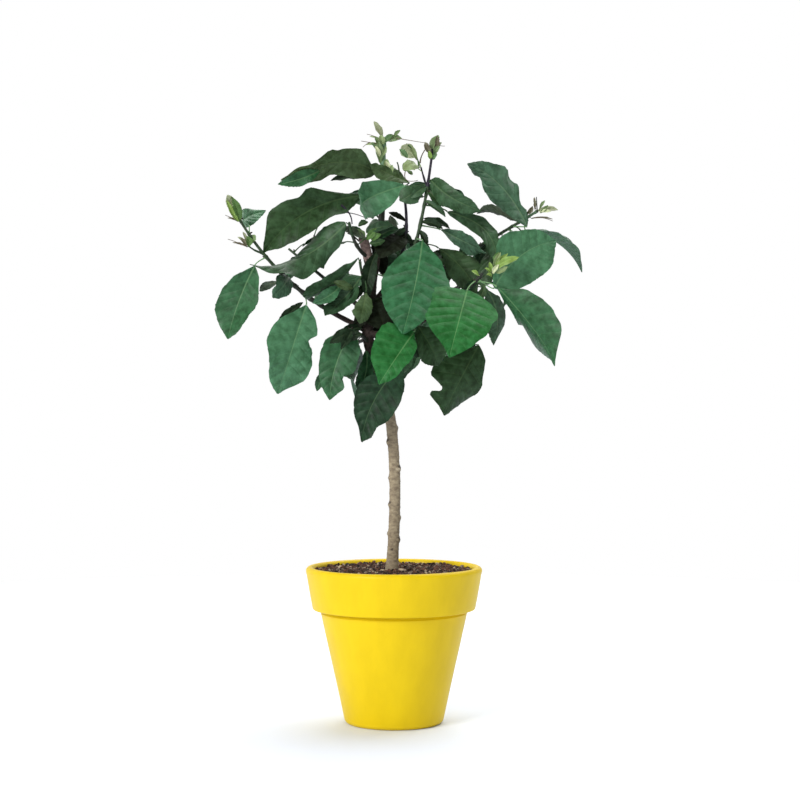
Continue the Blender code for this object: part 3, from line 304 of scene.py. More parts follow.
LIMBS = (
    Limb("left", 446, (-100, -18, 485), (-172, -38, 567), 3.2, 0.42, twigs=((0.75, (-19, -6, 11)),),
         more=3, leaves=(
        Leaf(0.74, (-30, -3, -82), 50, (-13, -4, -10), face=FRONT, roll=5, arch=-0.11, sweep=0.06,
             fold=0.31, twist=20, peak=1.07),
        Leaf(0.44, (-28, -40, -94), 57, (4, -7, -14), face=FRONT, roll=-10, arch=0.09, sweep=0.01,
             fold=0.01, twist=-22, peak=1.09),
        Leaf(0.57, (-15, -34, -27), 25, (2, -3, 3), roll=144, arch=-0.14, sweep=0.03, fold=0.1,
             twist=-20, peak=1),
        Leaf(0.6, (-22, 12, -10), 11, (-5, -1, -8), roll=104, arch=0.03, sweep=-0.08, fold=-0.08,
             twist=4, peak=1.17),
        Leaf(0.5, (53, 50, 23), 36, (21, 16, -17), roll=162, arch=-0.01, sweep=0.27, fold=0.46,
             twist=26, peak=1.03),
        Leaf(0.9, (14, 73, 26), 21, (0, 0, 10), roll=64, arch=-0.2, sweep=-0.04, fold=-0.01,
             twist=-25, peak=1.22),
        Leaf(1, (-12, -21, 25), 13, (0, 0, 1), roll=-2, arch=-0.18, sweep=0.08, fold=0.24, twist=-16,
             peak=1.14),
        Leaf(0.99, (-12, -2, 4), 3, (-2, 0, 0)),
        Leaf(0.96, (7, 2, 12), 10, (0, 0, 1), on=1),
        Leaf(0.9, (-17, 0, 5), 3, (-2, 0, 0), on=1),
        Leaf(1, (-10, -2, 9), 4, (-1, 0, 1), on=1),
        Leaf(0.97, (-6, 0, 14), 4, (0, 0, 2), on=1),
    )),
    Limb("top_left", 478, (-17, 2, 545), (-13, 14, 663), 3.8, 0.4, tip_radius=3.3, more=4, leaves=(
        Leaf(0.785, (-103, -63, -19), 39, (-8, -8, 2), face=BACK, roll=180, arch=0.08, sweep=0.16,
             fold=0.12, twist=-30, peak=0.85),
        Leaf(0.635, (-112, -30, -68), 54, (-20, -22, 2), face=UP_AND_BACK, roll=-130, arch=-0.08,
             sweep=0.12, fold=0.42, twist=31, peak=1.36),
        Leaf(1, (-10, -2, 19), 8, (0, 0, 4)),
        Leaf(0.99, (19, -4, 3), 11, (3, -1, 1)),
        Leaf(0.97, (-18, -2, 1), 5, (-2, 0, 0)),
        Leaf(0.985, (-14, 0, 5), 3, (-1, 0, 3)),
        Leaf(0.95, (-8, 0, 2), 4, (-1, 0, 1)),
        Leaf(0.8, (0, -2, 11), 7, (4, -1, 4)),
        Leaf(0.84, (-2, -4, 26), 9, (-3, -1, 2)),
    )),
    Limb("top_middle", 474, (13, 9, 552), (9, 6, 611), 2.8, 0.5, bend=0.62, more=5, leaves=(
        Leaf(0.96, (-41, -62, -42), 43, (2, -12, 5), roll=-13, arch=-0.21, sweep=0.27, fold=0.32,
             twist=-54, peak=0.78),
        Leaf(0.98, (-49, -12, 19), 19, (8, 0, 6), roll=-180, arch=0.03, sweep=-0.03, fold=-0.08,
             twist=-37, peak=1.08),
        Leaf(0.7, (-32, 65, 16), 27, (-9, 4, -3), roll=165, arch=-0.1, sweep=0.09, fold=0.33,
             twist=-4, peak=0.78),
        Leaf(0.6, (-6, 4, 25), 9, (-11, 4, 4)),
        Leaf(0.66, (-34, -24, -30), 34, (2, 2, -2), roll=10, fold=0.25),
    )),
    Limb("top_right", 453, (27, -19, 552), (44, -12, 652), 3, 0.56, bend=0.68,
         twigs=((0.86, (-7, -2, 24)),), more=4, leaves=(
        Leaf(0.66, (-22, -69, -106), 76, (6, -14, -3), face=FRONT, roll=3, arch=0.01, sweep=-0.02,
             fold=0.01, twist=2, peak=0.99),
        Leaf(0.88, (57, -13, -36), 28, (3, -3, 3), face=UP_AND_BACK, roll=-27, arch=-0.16, sweep=-0.02,
             fold=0.1, twist=2, peak=0.8),
        Leaf(0.8, (54, -16, -60), 23, (26, 3, -7), face=UP, roll=72, arch=-0.3, sweep=-0.17,
             fold=0.05, peak=0.86),
        Leaf(0.85, (42, -14, -20), 18, (3, -2, -3)),
        Leaf(0.72, (51, -30, -30), 30, (23, 18, -3), roll=-129, arch=0.05, sweep=-0.01, fold=0.02,
             twist=55, peak=1.42),
        Leaf(0.64, (43, 17, -50), 40, (26, 22, -3), roll=-136, arch=0.11, sweep=0.05, fold=0.34,
             twist=7, peak=1.51),
        Leaf(0.88, (-26, -6, -20), 24, (-6, 6, 0), roll=155, arch=-0.1, sweep=0.07, fold=0.13, twist=4,
             peak=1.42),
        Leaf(0.86, (26, 12, -20), 23, (2, 10, 6), roll=-105, arch=-0.2, sweep=0.06, fold=0.11,
             twist=-50, peak=1.01),
        Leaf(0.97, (8, -2, 23), 12, (-1, 1, 1)),
        Leaf(0.99, (9, 0, 9), 6, (1, 0, 0)),
        Leaf(0.98, (-7, -2, 10), 5, (-1, 0, 0)),
        Leaf(1, (-17, -17, 11), 17, (-5, 0, 11), on=1, roll=121, arch=0.07, sweep=0.02, fold=0.12,
             twist=-8, peak=1.12),
        Leaf(0.8, (-16, -24, -6), 15, (-6, 0, 4), on=1, roll=167, arch=-0.3, fold=0.12, twist=-4,
             peak=1.33),
        Leaf(0.84, (-25, 8, 2), 18, (-3, 6, -2)),
        Leaf(0.62, (26, 6, 12), 14, (12, 30, -14)),
        Leaf(0.74, (30, 8, -10), 11, (3, 4, 3)),
    )),
    Limb("right", 467, (70, 22, 526), (165, 20, 583), 3.1, 0.62, more=4, leaves=(
        Leaf(0.85, (-63, 40, 74), 43, (17, -8, -1), roll=124, arch=-0.01, sweep=-0.1, fold=0.07,
             twist=-7, peak=1.13),
        Leaf(0.89, (-47, 39, 15), 19, (1, 7, 1), face=UP, roll=97, arch=-0.03, sweep=-0.09, fold=0.47,
             twist=-70, peak=1.41),
        Leaf(0.93, (66, 0, -48), 52, (0, 4, -13), face=UP_AND_BACK, roll=55, arch=0.13, sweep=0.01,
             fold=0.42, twist=-8, peak=1.58),
        Leaf(0.66, (-20, -32, -70), 21, (19, -6, 13), roll=8, arch=-0.07, sweep=0.02, fold=-0.08,
             twist=3, peak=1.33),
        Leaf(1, (24, -3, 1), 9, (0, 0, 1)),
        Leaf(0.99, (-1, 0, 15), 3, (-1, 0, 2)),
        Leaf(1, (6, 0, 10), 4, (3, 0, 3)),
        Leaf(0.94, (6, 0, 10), 3, (-1, 0, 2)),
        Leaf(0.95, (25, -2, -1), 2.5, (2, 0, -2)),
        Leaf(0.7, (-12, 14, -20), 16, (2, 8, -3)),
    )),
    Limb("right_low", 440, (60, -48, 470), (106, -62, 516), 3, 0.74, more=2, leaves=(
        Leaf(0.88, (71, 26, 55), 67, (18, 4, -10), face=FRONT, roll=18, arch=0.04, sweep=-0.12,
             fold=0.11, twist=-9, peak=0.99),
        Leaf(0.86, (64, -33, -87), 69, (23, 0, -6), face=FRONT, roll=-126, arch=0.01, sweep=0.03,
             fold=0.44, twist=12, peak=1.24),
        Leaf(0.8, (-21, -56, -74), 76, (-3, -16, -4), face=FRONT, peak=0.84),
        Leaf(0.82, (8, 35, -60), 28, (18, 9, -4), roll=161, arch=-0.07, sweep=0.1, fold=0.46, twist=10,
             peak=0.86),
        Leaf(1, (26, -6, 8), 10, (4, -2, -3)),
        Leaf(0.99, (4, -4, 14), 7, (6, 0, 0)),
        Leaf(0.9, (-8, -4, 5), 6, (-1, -2, 1)),
    )),
    Limb("low_right", 424, (30, 10, 425), (79, 14, 432), 2.4, more=4, leaves=(
        Leaf(0.3, (6, -8, 42), 28, (4, -6, 6)),
        Leaf(1, (-41, 5, -80), 65, (19, -6, -3), face=FRONT, roll=180, arch=-0.13, fold=0.28,
             twist=-43, peak=1.08),
    )),
    Limb("front_low", 425, (0, -42, 446), (22, -82, 447), 2.6, more=2, leaves=(
        Leaf(1, (-38, -28, -57), 47, (1, -8, -7), face=FRONT),
        Leaf(0.92, (24, 14, -43), 40, (8, 4, -1)),
        Leaf(0.66, (-50, 22, -88), 56, (6, -2, -41), face=FRONT, roll=-4, arch=-0.09, sweep=0.09,
             fold=0.1, twist=21, peak=1.08),
        Leaf(0.36, (-12, 12, 30), 40, (-1, 4, 3)),
    )),
    Limb("left_low", 430, (-38, -22, 440), (-49, -40, 444), 2.4, more=4, leaves=(
        Leaf(1, (-26, -1, -78), 46, (2, -3, 0), face=FRONT, roll=-9, arch=0, sweep=0.06,
             fold=0.1, twist=16, peak=0.75),
        Leaf(0.8, (-1, -27, -60), 44, (4, -1, -15), roll=-33, arch=-0.29, sweep=-0.03, fold=0.23,
             twist=-75, peak=1.3),
        Leaf(0.98, (-16, 8, -58), 16, (-14, 12, -4)),
        Leaf(1, (-12, 2, -26), 12, (-27, 22, -42)),
        Leaf(0.7, (-24, -8, -8), 15, (6, -16, -3)),
    )),
    Limb("upper_left", 528, (-45, -24, 546), (-50, -32, 565), 2.4, more=2, leaves=(
        Leaf(0.9, (-106, -17, -53), 44, (-4, -5, 4), roll=147, arch=0.12, sweep=0.1, fold=0.49,
             twist=79, peak=0.82),
        Leaf(0.45, (-28, -4, 12), 13, (10, 2, 8)),
    )),
    Limb("inner_left", 498, (-36, -20, 510), (-38, -26, 521), 2.2, more=1, leaves=(
        Leaf(0.98, (-61, -30, -41), 36, (-2, -4, 5), face=UP_AND_BACK, roll=-6, arch=0.02, sweep=0.25,
             fold=0.27, twist=-1, peak=1.12),
        Leaf(0.6, (-41, -6, -42), 31, (-2, -6, -5), face=UP, roll=-34, arch=-0.23, sweep=0.1,
             fold=0.5, twist=3, peak=1.11),
        Leaf(0.5, (-7, 15, -35), 24, (3, -8, -19), roll=178, arch=-0.18, sweep=0.04, fold=0.12,
             twist=-42, peak=1.06),
    )),
    Limb("rear_left", 464, (-60, 38, 490), (-125, 85, 545), 3, 0.4, side_twigs=3, more=9),
    Limb("rear_middle", 488, (-16, 52, 545), (-12, 100, 614), 3, 0.42, side_twigs=3, more=9, leaves=(
        Leaf(0.46, (2, -4, -32), 24, (8, -4, -2)),
    )),
    Limb("rear_right", 450, (58, 60, 490), (136, 105, 532), 3, 0.42, side_twigs=3, more=9, leaves=(
        Leaf(0.45, (20, -6, 50), 30, (2, -6, 3)),
    )),
    Limb("rear_low_left", 436, (-42, 45, 433), (-66, 95, 425), 2.6, 0.36, side_twigs=2, more=7, leaves=(
        Leaf(0.48, (42, -18, 16), 30, (3, 2, 6)),
    )),
    Limb("rear_low_right", 414, (18, 55, 428), (50, 112, 446), 2.6, 0.36, side_twigs=2, more=7),
)


@dataclass
class Looks:
    """How one shown leaf looks: its tone, its two edges, the bites in it and how wavy it is.

    Each edge has seven factors on the plain half width, at EDGE_STATIONS along the blade. A bite has its
    place along the blade, its side, its depth and its width.
    """

    tone: str
    edges: tuple = ()
    bites: tuple = ()
    wavy: float = 1.0


# The looks of each leaf that the photograph shows, in the order of its limb's leaves
# The shadow and inner_shade tones here are painted shade, near-black leaves inside the crown
SHOWN_LOOKS = {
    "left": (
        Looks("cool_green", ((1.1, 1, 0.99, 0.98, 0.98, 0.99, 1),
              (0.7, 0.94, 0.94, 0.94, 0.94, 0.94, 0.98))),
        Looks("mid_green", ((1.2, 1.1, 0.9, 0.9, 1, 1.15, 0.9), (0.9, 1.15, 1.15, 1.1, 1, 1, 1.05)),
              bites=((0.38, -1, 0.34, 0.05),)),
        Looks("teal", ((1, 0.8, 1.05, 1.05, 0.9, 0.85, 1.25), (0.9, 1.05, 0.9, 1, 1, 1, 1.05))),
        Looks("brown_green"),
        Looks("pale_teal", ((1.15, 1.2, 1.15, 1.05, 0.95, 0.75, 1), (1, 1, 0.9, 0.8, 0.8, 0.9, 0.9))),
        Looks("mid_green"), Looks("pale_young"), Looks("brown_shoot"), Looks("dull_shoot"),
        Looks("brown_shoot"), Looks("grey_young"), Looks("grey_young"),
    ),
    "top_left": (
        Looks("light_olive", ((1.35, 1, 0.85, 0.85, 1.2, 1.35, 2.6),
              (0.5, 1.1, 0.9, 1, 1.45, 0.45, 0.7)), wavy=1.8),
        Looks("deep_olive", ((1.55, 1.45, 1.05, 0.95, 0.95, 1.1, 1.6),
              (0.7, 0.9, 0.95, 0.6, 0.9, 1.15, 0.8)), wavy=1.8),
        Looks("grey_young"), Looks("dull_shoot"), Looks("young"), Looks("young"), Looks("young"),
        Looks("young"), Looks("dull_shoot"),
    ),
    "top_middle": (
        Looks("mid_green", ((0.8, 1, 1.05, 1.05, 0.95, 0.85, 0.95),
              (0.85, 0.9, 0.9, 0.75, 0.75, 1, 1.2))),
        Looks("light_olive", ((1, 1.2, 1.2, 0.8, 0.7, 0.7, 1), (1, 1.15, 1, 1.1, 1.3, 1.5, 1.3))),
        Looks("sea_green", ((0.6, 1.15, 1.4, 1.2, 0.65, 0.8, 1.4), (1, 1.05, 1.05, 1.1, 1.2, 1.5, 1))),
        Looks("brown_green"),
        Looks("inner_shade", ((0.6, 0.7, 0.95, 1.2, 1.3, 1.4, 1.4),
              (0.6, 1.2, 1.3, 1.4, 1.4, 1.4, 1.4))),
    ),
    "top_right": (
        Looks("blue_green", ((0.7, 0.95, 0.95, 1, 0.95, 0.95, 0.95), (0.85, 0.9, 1, 1, 0.95, 1, 0.9))),
        Looks("sea_green", ((1.2, 1.2, 1.05, 0.95, 1.1, 1.2, 1.2),
              (1.1, 0.9, 0.8, 0.8, 0.85, 0.9, 0.8))),
        Looks("sea_green", ((0.85, 0.85, 1, 0.8, 1, 0.85, 0.65),
              (1.05, 1.05, 0.95, 0.85, 0.95, 1.35, 1.15))),
        Looks("olive"),
        Looks("teal", ((0.7, 0.8, 0.9, 1, 1.05, 0.95, 0.5), (1.2, 1.05, 0.95, 0.95, 1.05, 0.9, 1.2))),
        Looks("olive", ((1.3, 1.2, 1.15, 1.15, 1.05, 0.9, 1), (1.3, 1.1, 0.85, 0.95, 0.95, 0.7, 0.5))),
        Looks("sea_green"), Looks("sea_green"), Looks("dull_shoot"), Looks("young"), Looks("young"),
        Looks("pale_young"), Looks("young"), Looks("bottle"), Looks("shadow"), Looks("shadow"),
    ),
    "right": (
        Looks("teal", ((1.05, 0.5, 0.95, 0.65, 1.05, 1, 1), (1, 0.95, 1.1, 1.2, 1, 0.6, 1.1))),
        Looks("brown_green", ((1, 1.1, 0.85, 0.8, 1.05, 1.05, 0.75),
              (1, 1, 0.7, 0.55, 0.85, 0.95, 1.2))),
        Looks("teal", ((1, 1.1, 0.95, 0.95, 1.05, 1.05, 0.9), (1, 1.5, 1.2, 1, 0.95, 0.95, 0.7))),
        Looks("deep_olive", ((1, 1.15, 0.95, 0.9, 0.9, 1.05, 1.4), (1, 1.4, 0.85, 1, 1.05, 1.15, 1.4))),
        Looks("grey_young"), Looks("brown_shoot"), Looks("dull_shoot"), Looks("brown_shoot"),
        Looks("brown_shoot"), Looks("deep"),
    ),
    "right_low": (
        Looks("mid_green", ((0.85, 0.8, 1, 0.95, 0.85, 0.9, 1.05), (0.8, 1, 1, 0.95, 1, 1, 0.85))),
        Looks("cool_green", ((0.95, 0.55, 0.85, 1.05, 1.1, 1, 0.65), (0.7, 1, 0.95, 0.9, 0.9, 1, 0.75)),
              bites=((0.45, -1, 0.3, 0.05), (0.36, -1, -0.2, 0.04))),
        Looks("fresh", ((1, 1.1, 1.05, 1, 1.05, 1, 0.9), (1.6, 1.1, 0.95, 1, 1.05, 1, 0.65))),
        Looks("bottle", ((0.7, 0.95, 0.9, 0.95, 0.95, 0.95, 0.9),
              (0.55, 1.1, 1.05, 1, 1.05, 1.15, 0.8))),
        Looks("shoot_leaf"), Looks("yellow_green"), Looks("lime"),
    ),
    "low_right": (
        Looks("shadow"),
        Looks("deep_olive", ((0.65, 0.75, 1, 1.1, 1.05, 1.1, 0.7),
              (1.05, 0.85, 0.85, 0.9, 0.9, 0.85, 0.65)),
              bites=((0.7, -1, 0.6, 0.06), (0.86, -1, -0.3, 0.05))),
    ),
    "front_low": (
        Looks("fresh", ((0.5, 0.8, 0.7, 0.65, 0.6, 0.65, 0.65), (3, 2.1, 1.6, 1.35, 1.2, 1.15, 0.9))),
        Looks("deep_olive"),
        Looks("deep", ((0.75, 1, 1, 1.05, 1, 0.8, 1), (0.5, 0.8, 0.85, 0.85, 0.8, 0.75, 0.5))),
        Looks("inner_shade"),
    ),
    "left_low": (
        Looks("cool_green", ((0.7, 0.95, 1, 1.05, 0.9, 0.85, 1), (0.85, 1.05, 0.9, 0.9, 0.95, 1, 0.95)),
              bites=((0.65, -1, 0.34, 0.05), (0.8, -1, -0.3, 0.06))),
        Looks("cool_green"), Looks("shadow"), Looks("cool_green"), Looks("shadow"),
    ),
    "upper_left": (
        Looks("sea_green", ((1.05, 0.95, 0.75, 0.5, 1.15, 1.7, 0.55),
              (0.95, 0.75, 0.9, 1.05, 1.2, 1.1, 0.95)), wavy=1.8),
        Looks("brown_green"),
    ),
    "inner_left": (
        Looks("sea_green", ((0.5, 0.9, 0.9, 1, 0.8, 0.85, 1.1),
              (1.3, 0.65, 1.2, 0.85, 0.75, 0.95, 1.5))),
        Looks("bottle", ((0.7, 1.5, 1.5, 1.4, 1.4, 1.3, 1), (1, 0.5, 0.5, 0.5, 0.5, 0.6, 1))),
        Looks("light_olive", ((0.5, 0.7, 0.7, 0.8, 0.9, 1.3, 1.5),
              (0.5, 0.85, 0.85, 0.95, 1.05, 1.15, 1.1))),
    ),
    "rear_middle": (Looks("deep"),),
    "rear_right": (Looks("deep_olive"),),
    "rear_low_left": (Looks("inner_shade"),),
}
# Leaves too fine for the solids, by limb: base, reach, width and tone
# Those in the shadow and inner_shade tones are dark sheets of painted shade, set where the crown is
# shaded between its leaves
FINE_LEAVES = {
    "top_left": (
        ((-14, 10, 656), (-1, -2, 12.5), 9, "young"), ((-16, 10, 654), (-5.5, -4, 12), 7, "dull_shoot"),
        ((-12.5, 10, 659.5), (10.5, -2, 10), 7, "shoot_leaf"),
        ((0, 10, 666.5), (7, -2, 7.5), 4.5, "dull_shoot"),
        ((-16, 6, 643), (-5.5, -4, 12), 5.5, "pale_young"),
        ((-13.5, 6, 644), (4.5, -3, 11), 4.5, "young"),
        ((-17, 8, 651), (-9, -4, 8.5), 4.5, "shoot_leaf"),
        ((-5.5, 2, 624), (-3.5, -4, 13), 7, "pale_young"),
        ((-4.5, 2, 622), (2.5, -3, 11), 5.5, "young"),
        ((-82, -50, 620.5), (-44, -24, -18.5), 16.5, "cool_green"),
        ((-24, 2, 623), (-47, -26, -10), 11.5, "shadow"),
    ),
    "top_right": (
        ((26, -22, 635.5), (-11.5, -8, 18), 6.5, "young"),
        ((15.5, -32, 636.5), (-9, -4, 9.5), 6.5, "shoot_leaf"),
        ((13.5, -28, 621.5), (-2.5, -4, 9.5), 5.5, "young"),
        ((23.5, -24, 624), (-7, -4, 8.5), 8, "pale_young"),
        ((21.5, -24, 619.5), (-7, -6, 3.5), 4.5, "dull_shoot"),
        ((42, -14, 637), (-2.5, -4, 9.5), 5.5, "lime"),
        ((44, -14, 637), (3.5, -3, 9.5), 4.5, "shoot_leaf"),
        ((42, -15, 643.5), (-7, -3, 13), 7, "brown_shoot"),
        ((45, -15, 645.5), (3.5, -3, 18.5), 5.5, "brown_shoot"),
        ((45, -15, 643.5), (6.5, -3, 9.5), 5.5, "dull_shoot"),
        ((11.5, 10, 553), (-20.5, -6, -12), 10.5, "inner_shade"),
        ((-2.5, 12, 558), (25, -4, -14), 12.5, "shadow"),
        ((16, 12, 549), (18.5, -2, -14), 11.5, "shadow"),
        ((37, -17, 607), (-18, -5, -14), 11.5, "sea_green"),
        ((36, -17, 602.5), (15.5, -5, -18.5), 10, "deep_olive"),
        ((37, -17, 609.5), (-20.5, -3, -2.5), 8, "bottle"),
        ((35, -18, 591), (23.5, -6, -18.5), 10, "bottle"),
        ((30.5, -19, 566.5), (24.5, -3, -8), 10, "shadow"),
        ((28, -19, 557.5), (9, -4, -19.5), 8, "shadow"), ((26, -19, 546), (16, 3, -19), 10, "shadow"),
    ),
    "right": (
        ((167, 16, 580), (9, -2, 9), 4.5, "dull_shoot"),
        ((154.5, 18, 579), (4.5, -2, 9), 4.5, "brown_shoot"),
        ((166, 16, 581.5), (13.5, -4, 0.5), 4.5, "pale_young"),
        ((71, 21, 526.5), (-25.5, -7, 9.5), 11.5, "inner_shade"),
        ((75.5, 21, 530), (11.5, -5, 19), 10.5, "sea_green"),
        ((66.5, 21, 524.5), (20.5, -7, -7.5), 11.5, "light_olive"),
    ),
    "left": (
        ((-171, -42, 565), (-8, -10, 25.5), 10, "yellow_green"),
        ((-172, -43, 564), (-12.5, -11, 23), 6.5, "lime"),
        ((-161.5, -38, 536.5), (-2, 0, 12.5), 8, "yellow_green"),
        ((-164, -38, 536.5), (-6.5, -2, 10), 4.5, "brown_shoot"),
        ((-102, -22, 476), (-31, -6, -30.5), 11, "shadow"),
    ),
    "right_low": (
        ((109.5, -74, 508), (27, -8, 13.5), 9, "lime"), ((112, -72, 509.5), (13, -6, 16), 6.5, "lime"),
        ((110, -72, 510.5), (6.5, -4, 17), 6.5, "young"),
        ((108.5, -72, 506), (-3.5, -4, 10.5), 5.5, "lime"),
        ((108.5, -74, 504), (6, -6, 9.5), 5.5, "pale_young"),
        ((106.5, -72, 505), (-6.5, -3, 5.5), 4.5, "lime"),
        ((107.5, -72, 501.5), (-5.5, -4, 2), 4.5, "lime"), ((111, -74, 505), (13, -6, 7), 5.5, "young"),
        ((93, -56, 499.5), (-16.5, -2, -14.5), 10, "deep"),
        ((99.5, -60, 494), (-6.5, -2, -18), 9, "olive"),
    ),
    "upper_left": (
        ((-29.5, -12, 558), (28.5, -4, 5), 13.5, "bottle"),
        ((-31.5, -14, 546.5), (11.5, -4, 13), 8, "yellow_green"),
        ((-34, -14, 546.5), (-6.5, -6, 12), 7, "dull_shoot"),
        ((-26, -14, 546.5), (11.5, -4, 6.5), 8, "yellow_green"),
        ((-36, -14, 547.5), (-11, -6, 14), 9, "bottle"), ((-19, -12, 548), (25, -2, 11), 13.5, "deep"),
        ((-40.5, -16, 562), (11.5, -2, 4.5), 7, "deep_olive"),
        ((-28, -14, 543), (18, -4, 3), 9, "deep_olive"),
    ),
    "inner_left": (
        ((-25.5, 16, 549), (13.5, 4, -41), 17, "inner_shade"),
        ((-19, -10, 534.5), (-11, -6, -56), 17, "shadow"),
        ((-11.5, -9, 481.5), (-34, -3, -36.5), 19, "inner_shade"),
        ((-35, -10, 448.5), (-30, -10, -20.5), 14.5, "shadow"),
        ((-31.5, -14, 497), (-22.5, -8, -25.5), 10, "shadow"),
        ((-61, -16, 494.5), (-30, -12, -20), 16, "mid_green"),
        ((-46, -18, 492), (-22, -8, 7.5), 11.5, "light_olive"),
    ),
    "front_low": (((-18.5, 12, 455), (3.5, 4, -26), 18.5, "inner_shade"),),
    "top_middle": (
        ((13.5, 8, 570), (-19.5, -6, 9.5), 7, "inner_shade"),
        ((13.5, 8, 562), (-13.5, -4, -9.5), 8, "shadow"),
    ),
    "left_low": (
        ((-40, -44, 442.5), (-30.5, -12, -13.5), 14.5, "shadow"),
        ((-46.5, -46, 443.5), (-12, -9, -21.5), 10, "shadow"),
        ((-31.5, -6, 422.5), (-11, -5, -51), 18, "cool_green"),
    ),
}
# Threads and spurs too fine for the solids, by limb: kind, radius and three places
FINE_THREADS = {
    "top_left": (
        ("thread", 0.5, (-20.5, 8, 658), (-28.5, 4, 659.5), (-37.5, 2, 660.5)),
        ("thread", 0.45, (-27.5, 5, 659.5), (-31, 3, 657.5), (-35.5, 2, 653.5)),
        ("thread", 0.45, (-16, 9, 664), (-23, 7, 667), (-31, 6, 669)),
        ("dark_green", 1.1, (5.5, 2, 624), (5.5, 0, 629.5), (3.5, -2, 636)),
    ),
    "top_right": (
        ("thread", 0.45, (2, 8, 665), (19.5, -2, 660.5), (36, -14, 656)),
        ("thread", 0.8, (29.5, -17, 633), (31.5, -16, 642), (37.5, -15, 651.5)),
        ("thread", 0.5, (12.5, -30, 621), (14.5, -26, 612.5), (27, -20, 613)),
        ("stalk", 0.9, (28, -18, 627), (25, -22, 640), (16, -30, 651.5)),
        ("thread", 0.45, (48.5, -14, 655), (52, -14, 653), (57.5, -14, 652.5)),
    ),
    "right": (
        ("thread", 0.5, (160.5, 18, 575), (170.5, 15, 574.5), (181.5, 12, 570.5)),
        ("dark", 0.8, (164, 17, 581.5), (163.5, 16, 589.5), (163, 15, 598.5)),
    ),
    "left": (
        ("thread", 0.5, (-173.5, -40, 567.5), (-181, -42, 569), (-187.5, -44, 571.5)),
        ("thread", 0.5, (-165, -37, 537.5), (-176, -38, 542), (-185, -40, 545)),
    ),
    "upper_left": (
        ("black", 1.1, (-59.5, -22, 585), (-50.5, -22, 576), (-47, -24, 563.5)),
        ("black", 0.6, (-57.5, -22, 577), (-44, -20, 575), (-29.5, -12, 570.5)),
        ("bark", 1.2, (-51.5, -20, 554), (-46, -16, 551), (-39.5, -10, 545.5)),
    ),
}
# Tones of the leaves grown by rule, and tones whose stalks are those of young or pale leaves
# Deep among them is painted shade, a near-black for leaves grown inside the crown
RULE_TONES = ("sea_green", "bottle", "mid_green", "deep_olive", "blue_green", "deep")
YOUNG_TONES = ("young", "pale_young", "grey_young", "lime", "shoot_leaf", "dull_shoot")
PALE_RIBBED = ("teal", "fresh", "blue_green", "cool_green", "mid_green")
# Finishes along each stem, from foot to tip; their dark and black stretches are partly the shoots' own
# colour and partly painted shade inside the crown
STEM_KINDS = {
    "left": ("dark", "dark_green", "dark_green"),
    "top_left": ("dark", "dark", "green", "green"),
    "top_middle": ("black", "black", "black", "green"),
    "top_right": ("dark_green", "dark_green", "black"),
    "right": ("dark", "dark_green", "green"),
}
PLAIN_STEM = ("dark", "dark", "dark_green")


# Curves and shapes shared with the solids

def smooth_step(share):
    """Returns an eased share, held between nought and one."""
    share = min(max(share, 0.0), 1.0)
    return share * share * (3.0 - 2.0 * share)


def at_right_angles(vector, axis):
    """Returns the unit part of vector that is square to axis."""
    axis = axis.normalized()
    return (vector - axis * vector.dot(axis)).normalized()


def arc(centre, radius, start, end, steps):
    """Returns the points of a round stretch of a profile, its angles in degrees."""
    angles = (math.radians(start + (end - start) * i / steps) for i in range(steps + 1))
    return [(centre[0] + radius * math.cos(a), centre[1] + radius * math.sin(a)) for a in angles]


def body_radius(height):
    """Returns the outer radius of the pot's tapering body at a height."""
    share = height / (POT_HEIGHT - COLLAR_HEIGHT)
    return BODY_FOOT_RADIUS + (BODY_TOP_RADIUS - BODY_FOOT_RADIUS) * share


def pot_inside():
    """Returns the inner profile of the pot, from the rim down to the floor."""
    step = POT_HEIGHT - COLLAR_HEIGHT
    return [
        (RIM_RADIUS - RIM_WALL - 0.8, MIX_TOP - 8.0),
        (COLLAR_FOOT_RADIUS - RIM_WALL + 2.0, step + 6.0),
        (body_radius(step) - BODY_WALL, step - 4.0),
        (body_radius(FLOOR_THICK) - BODY_WALL, FLOOR_THICK),
    ]


def trunk_lean(height):
    """Returns how far the trunk's axis stands to the side at a height, on a smooth curve."""
    stations = TRUNK_LEAN
    index = 0
    while index < len(stations) - 2 and height > stations[index + 1][0]:
        index += 1
    (low, start), (high, end) = stations[index], stations[index + 1]
    before = stations[max(index - 1, 0)]
    after = stations[min(index + 2, len(stations) - 1)]
    slope_in = (end - before[1]) / (high - before[0])
    slope_out = (after[1] - start) / (after[0] - low)
    span = high - low
    t = min(max((height - low) / span, 0.0), 1.0)
    rise = start * (2 * t ** 3 - 3 * t ** 2 + 1) + end * (3 * t ** 2 - 2 * t ** 3)
    return rise + span * (slope_in * (t ** 3 - 2 * t ** 2 + t) + slope_out * (t ** 3 - t ** 2))


def trunk_axis(height):
    """Returns the middle of the trunk at a height."""
    return Vector((trunk_lean(height), 2.0 * math.sin((height - TRUNK_FOOT) / 60.0), height))


def scar_turns(angle):
    """Yields each bud scar's height, and how far round the trunk from it an angle stands."""
    for heights, side in ((SCARS_RIGHT, 0.0), (SCARS_LEFT, math.pi)):
        for index, scar in enumerate(heights):
            yield scar, angle - side + SCAR_TURN * (-1) ** index


def trunk_radius(height, angle):
    """Returns the trunk's radius: a taper, the root flare, the swollen fork and the bud scars."""
    share = (height - TRUNK_FOOT) / (TRUNK_TOP - TRUNK_FOOT)
    radius = TRUNK_RADIUS + (TRUNK_TOP_RADIUS - TRUNK_RADIUS) * share
    radius += FORK_SWELL * math.exp(-(((height - FORK_HEIGHT) / FORK_SPREAD) ** 2))
    towards_left = 0.7 - 0.3 * math.cos(angle)
    radius += FLARE * towards_left * math.exp(-(height - TRUNK_FOOT) / FLARE_HEIGHT)
    for scar, turn in scar_turns(angle):
        width = math.exp(-(math.sin(turn / 2.0) / SCAR_HALF_TURN) ** 2)
        radius += SCAR_RISE * width * math.exp(-(((height - scar) / SCAR_HALF_HEIGHT) ** 2))
    return radius


